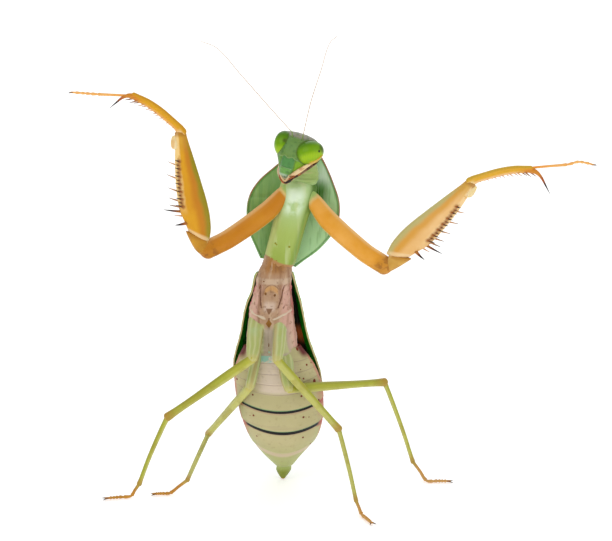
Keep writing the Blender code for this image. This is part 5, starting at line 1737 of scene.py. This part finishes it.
# Column and row in the photograph, depth in the head's own axes, radius
PALPS = {
    "outer": [(279.4, 174.0, -0.5, 0.16), (280.0, 177.8, -0.9, 0.20), (281.8, 181.0, -1.2, 0.20),
              (284.0, 183.0, -1.3, 0.13)],
    "inner": [(280.4, 175.0, -1.4, 0.17), (281.8, 177.8, -1.8, 0.20), (283.6, 180.0, -2.0, 0.20),
              (285.6, 181.4, -2.0, 0.12)],
    "middle": [(289.4, 174.8, -1.5, 0.16), (288.4, 177.2, -1.9, 0.20), (286.9, 179.4, -2.0, 0.19),
               (285.2, 180.9, -2.0, 0.11)],
    "far": [(295.4, 175.2, -1.0, 0.17), (292.8, 177.0, -1.5, 0.22), (289.8, 178.6, -1.8, 0.22),
            (287.2, 179.4, -1.9, 0.13)],
}
PALP_FINISHES = {"outer": (rust_finish, 4), "inner": (cream_finish, 3), "middle": (cream_finish, 3),
                 "far": (rust_finish, 4)}
MANDIBLE = [(283.4, 182.2, -1.1, 0.12), (285.6, 182.8, -1.3, 0.30), (288.4, 181.8, -1.4, 0.42),
            (291.0, 179.8, -1.4, 0.40), (293.2, 177.8, -1.1, 0.22)]
for palp, rows in PALPS.items():
    palp_finish, palp_joints = PALP_FINISHES[palp]
    face_cord("palp_" + palp, rows, palp_finish, "mouth", palp_joints)
face_cord("mandible", MANDIBLE, jaw_black_finish, "mouth", 0, 0.7)
print("jaws, mandible and", len(PALPS), "palps")

# %% [markdown]
# The eyes are smooth domes of thousands of tiny lenses, so they have a soft sheen and faint
# stripes. The small black spot is the false pupil, which on a model has to be a fixed mark.

# %% Eyes
EYE_CUTS = (96, 64)
# Column and row in the photograph, and for the dots their radius
EYE_SMUDGE = (284.8, 140.4)
EYE_MARK = [(319.2, 151.2, 0.26, 1.2)]
OCELLI = [(296.4, 134.6, 0.18), (299.6, 135.2, 0.18), (297.6, 137.2, 0.17)]
skin = Recipe("eye lens", (104, 152, 0), (120, 164, 4), 2600, 200, 0.5)
z = skin.read("eye_z")
inward = skin.read("eye_in")
skin.layer((76, 124, 4), skin.ramp(z, 0.10, 0.75))
skin.layer((66, 106, 30), skin.ramp(z, 0.70, 0.96))
skin.layer((160, 194, 24), skin.band(z, -0.85, -0.25, 0.25), 0.8)
skin.layer((70, 116, 8), skin.ramp(inward, 0.30, 0.75), 0.8)
skin.layer((206, 176, 30), skin.ramp(z, -0.80, -0.96), skin.ramp(inward, 0.3, -0.2))
skin.layer((58, 72, 24), skin.ramp(inward, -0.86, -0.97), 0.7)
stripes = skin.plus(inward, skin.times(z, 0.4))
stripes = skin.math("SINE", skin.times(stripes, 40.0))
skin.layer((92, 138, 10), skin.ramp(stripes, 0.2, 0.9), 0.12)
skin.layer((64, 78, 18), skin.read("smudge"), 0.85)
eye_finish = skin.finish(0.3, 0.05, specular=0.2)
eye_mark_finish = Recipe("eye mark", (20, 20, 8), (10, 10, 6), 1200, 300).finish(0.3, 0.05)
eyes = {}
for side_name, frame_here in EYE_FRAMES.items():
    bpy.ops.object.select_all(action="DESELECT")
    bpy.ops.mesh.primitive_uv_sphere_add(segments=EYE_CUTS[0], ring_count=EYE_CUTS[1], radius=1.0)
    eye = fresh("eye_globe_" + side_name)
    sign = 1 if side_name == "left" else -1
    mark(eye, "eye_z", [vert.co.z for vert in eye.data.vertices])
    mark(eye, "eye_in", [-sign * vert.co.x for vert in eye.data.vertices])
    for vert in eye.data.vertices:
        spot = Vector([half * part for half, part in zip(EYES[side_name][1], vert.co)])
        vert.co = at(frame_here @ spot)
    # Only her right eye has the smudge, so the left one's is put far below the floor
    place = spot_on(eye, *EYE_SMUDGE)[0] if side_name == "right" else Vector((0, 0, -1))
    dark = [step(0.9, 0.1, (vert.co - place).length / MM) for vert in eye.data.vertices]
    mark(eye, "smudge", dark)
    eyes[side_name] = dress(eye, eye_finish, "eye", "eye_" + side_name)
dress(dots_on("eye_mark_left", eyes["left"], EYE_MARK, 0.25), eye_mark_finish, "eye")
ocellus_finish = Recipe("forehead lens", (150, 154, 104), (130, 134, 84), 1500, 400).finish(0.15, 0.05)
dress(dots_on("ocelli", head, OCELLI, 0.6), ocellus_finish, "face")

# %% Feelers
ANTENNA_PLACES = {
    "left": [(8.2, -4.8, 97.9), (10.4, -3.6, 104.6), (12.5, -2.4, 111.1), (14.3, -1.4, 112.7)],
    "right": [(-2.1, -6.1, 97.3), (-8.4, -6.1, 104.6), (-13.6, -6.0, 110.5), (-17.6, -6.0, 112.3)],
}
skin = Recipe("feeler skin", (196, 168, 138), (176, 142, 108), 1500, 300, 0.5)
skin.layer((128, 150, 84), skin.ramp(skin.read("reach"), 0.075, 0.045))
feeler_finish = skin.finish(0.5, 0.2)


def feeler_beads(share):
    return 1 + 0.10 * math.sin(share * 220)


for side_name, sign in (("left", 1), ("right", -1)):
    x, y, z = ANTENNA_SOCKET
    socket = HEAD_FRAME @ Vector((sign * x, y, z))
    scape = HEAD_FRAME @ Vector((sign * x * 1.05, y - 0.8, z + 0.9))
    places = ANTENNA_PLACES[side_name]
    knots = [(*socket, 0.20), (*scape, 0.14), (*scape.lerp(Vector(places[0]), 0.1), 0.09)]
    knots += [(*spot, 0.085 - 0.010 * i) for i, spot in enumerate(places)]
    feeler = mould_path("feeler_" + side_name, knots, (8, 240), feeler_beads)
    dress(feeler, feeler_finish, "antenna", "antenna_" + side_name)
print("head, eyes and feelers")

# %% [markdown]
# ## Wings
# Leathery fore wings lie like a roof over her back, with thin hind wings under them. From the
# front only their dark inner faces and pale front margins show. The veins are raised, and the
# material reads the same rule as the relief, so that colour and ridge fall together.

# %% Wings
# Height, half spread
WING_SPREAD = [
    (5.2, 1.9), (7.5, 4.6), (11.4, 7.2), (19.0, 9.7), (27.0, 10.6), (31.0, 10.3), (39.0, 8.6),
    (46.5, 7.1), (51.0, 5.5), (54.6, 4.2),
]
# Lift, rise, first angle, last angle, lower end
WING_LAYERS = {
    "tegmen_left": (2.0, 1.7, 0, 104, 5.2),
    "tegmen_right": (2.0, 0.8, 0, 104, 5.2),
    "hindwing_left": (1.4, -0.3, 32, 84, 11.0),
    "hindwing_right": (1.4, -0.3, 32, 84, 11.0),
}
WING_VEINS = [0.1, 0.3, 0.62]
RIGHT_WING_TUCK = 1.0
WING_THICKNESS = 0.3
WING_MIDDLE = (0.6, 1.0, 30.0)


def wing_vein(u, v):
    """Height of the veins: long ones that fan out a little, and slanting ones from them."""
    lift = 0.0
    for vein in WING_VEINS:
        lift += 0.22 * math.exp(-((u - vein - 0.03 * (1 - v)) / 0.012) ** 2)
    slant = (v * 16 + abs(u - 0.3) * 9) % 1.0
    lift += 0.07 * math.exp(-((slant - 0.5) / 0.12) ** 2) * step(0.02, 0.1, u) * step(1.0, 0.95, u)
    return lift


def wing_place(name):
    lift, rise, first_angle, last_angle, low = WING_LAYERS[name]
    sign = 1 if name.endswith("left") else -1
    high = WING_SPREAD[-1][0]
    veined = 1.0 if name.startswith("tegmen") else 0.4
    tuck = RIGHT_WING_TUCK if name.endswith("right") else 0.0

    def place(u, v):
        height = low + (high - low) * v
        spread = along(WING_SPREAD, height)[0]
        spread -= tuck * step(31.0, 40.0, height) * step(54.0, 49.0, height)
        x, y, _, _, back = along(BODY_SECTIONS, height)
        angle = math.radians(first_angle + (last_angle - first_angle) * u)
        ridge = wing_vein(u, v) * veined
        return Vector((x + sign * (spread + ridge) * math.cos(angle),
                       y + lift + (back + rise + ridge) * math.sin(angle), height))
    return place


def wing_piece(name, node, finish, slot):
    piece = mould_sheet(blank_sheet(name, 80, 120), wing_place(node), {"vein": wing_vein})
    thicken(piece, WING_THICKNESS, lambda spot: -(spot - at(WING_MIDDLE)).length)
    dress(piece, finish, slot, node)


skin = Recipe("fore wing green", (84, 136, 24), (100, 154, 40), 900, 160, 0.7)
vein, inner, edge = skin.read("vein"), skin.read("inner"), skin.read("around")
skin.layer((150, 196, 90), skin.ramp(vein, 0.04, 0.14), 0.7)
stigma = skin.times(skin.band(skin.read("along"), 0.50, 0.56, 0.02), skin.band(edge, 0.40, 0.46, 0.02))
skin.layer((228, 230, 188), stigma)
skin.layer((62, 116, 20), skin.flecks(1300, 1.0, 0.52, 0.60, (1.0, 1.0, 0.4)), 0.35)
skin.layer((74, 124, 16), inner, 0.8)
deep = skin.times(inner, skin.ramp(edge, 0.09, 0.20))
skin.layer((16, 148, 10), deep, 0.94)
skin.layer((206, 186, 132), skin.ramp(edge, 0.024, 0.010))
wing_finish = skin.finish(0.42, 0.35, 0.08)
HINDWING_COLOURS = {"left": ((14, 14, 8), (34, 30, 16)), "right": ((14, 60, 10), (8, 40, 6))}
hindwing_finishes = {}
for side_name, (membrane, veil) in HINDWING_COLOURS.items():
    skin = Recipe("hind wing " + side_name, membrane, veil, 900, 160, 0.6)
    skin.layer((70, 60, 30), skin.ramp(skin.read("vein"), 0.08, 0.16), 0.4)
    if side_name == "left":
        patch = skin.band(skin.read("along"), 0.60, 0.68, 0.03)
        skin.layer((170, 84, 30), patch, skin.ramp(skin.read("around"), 0.35, 0.2), 0.8)
    hindwing_finishes[side_name] = skin.finish(0.45, 0.3)
for side_name in hindwing_finishes:
    wing_piece("fore_wing_" + side_name, "tegmen_" + side_name, wing_finish, "tegmen")
for side_name, hindwing_finish in hindwing_finishes.items():
    wing_piece("hind_wing_" + side_name, "hindwing_" + side_name, hindwing_finish, "hindwing")
bpy.data.objects.remove(THORN)
print(len(WING_LAYERS), "wings")

# %% Pieces and the end
print(len(finished), "pieces")
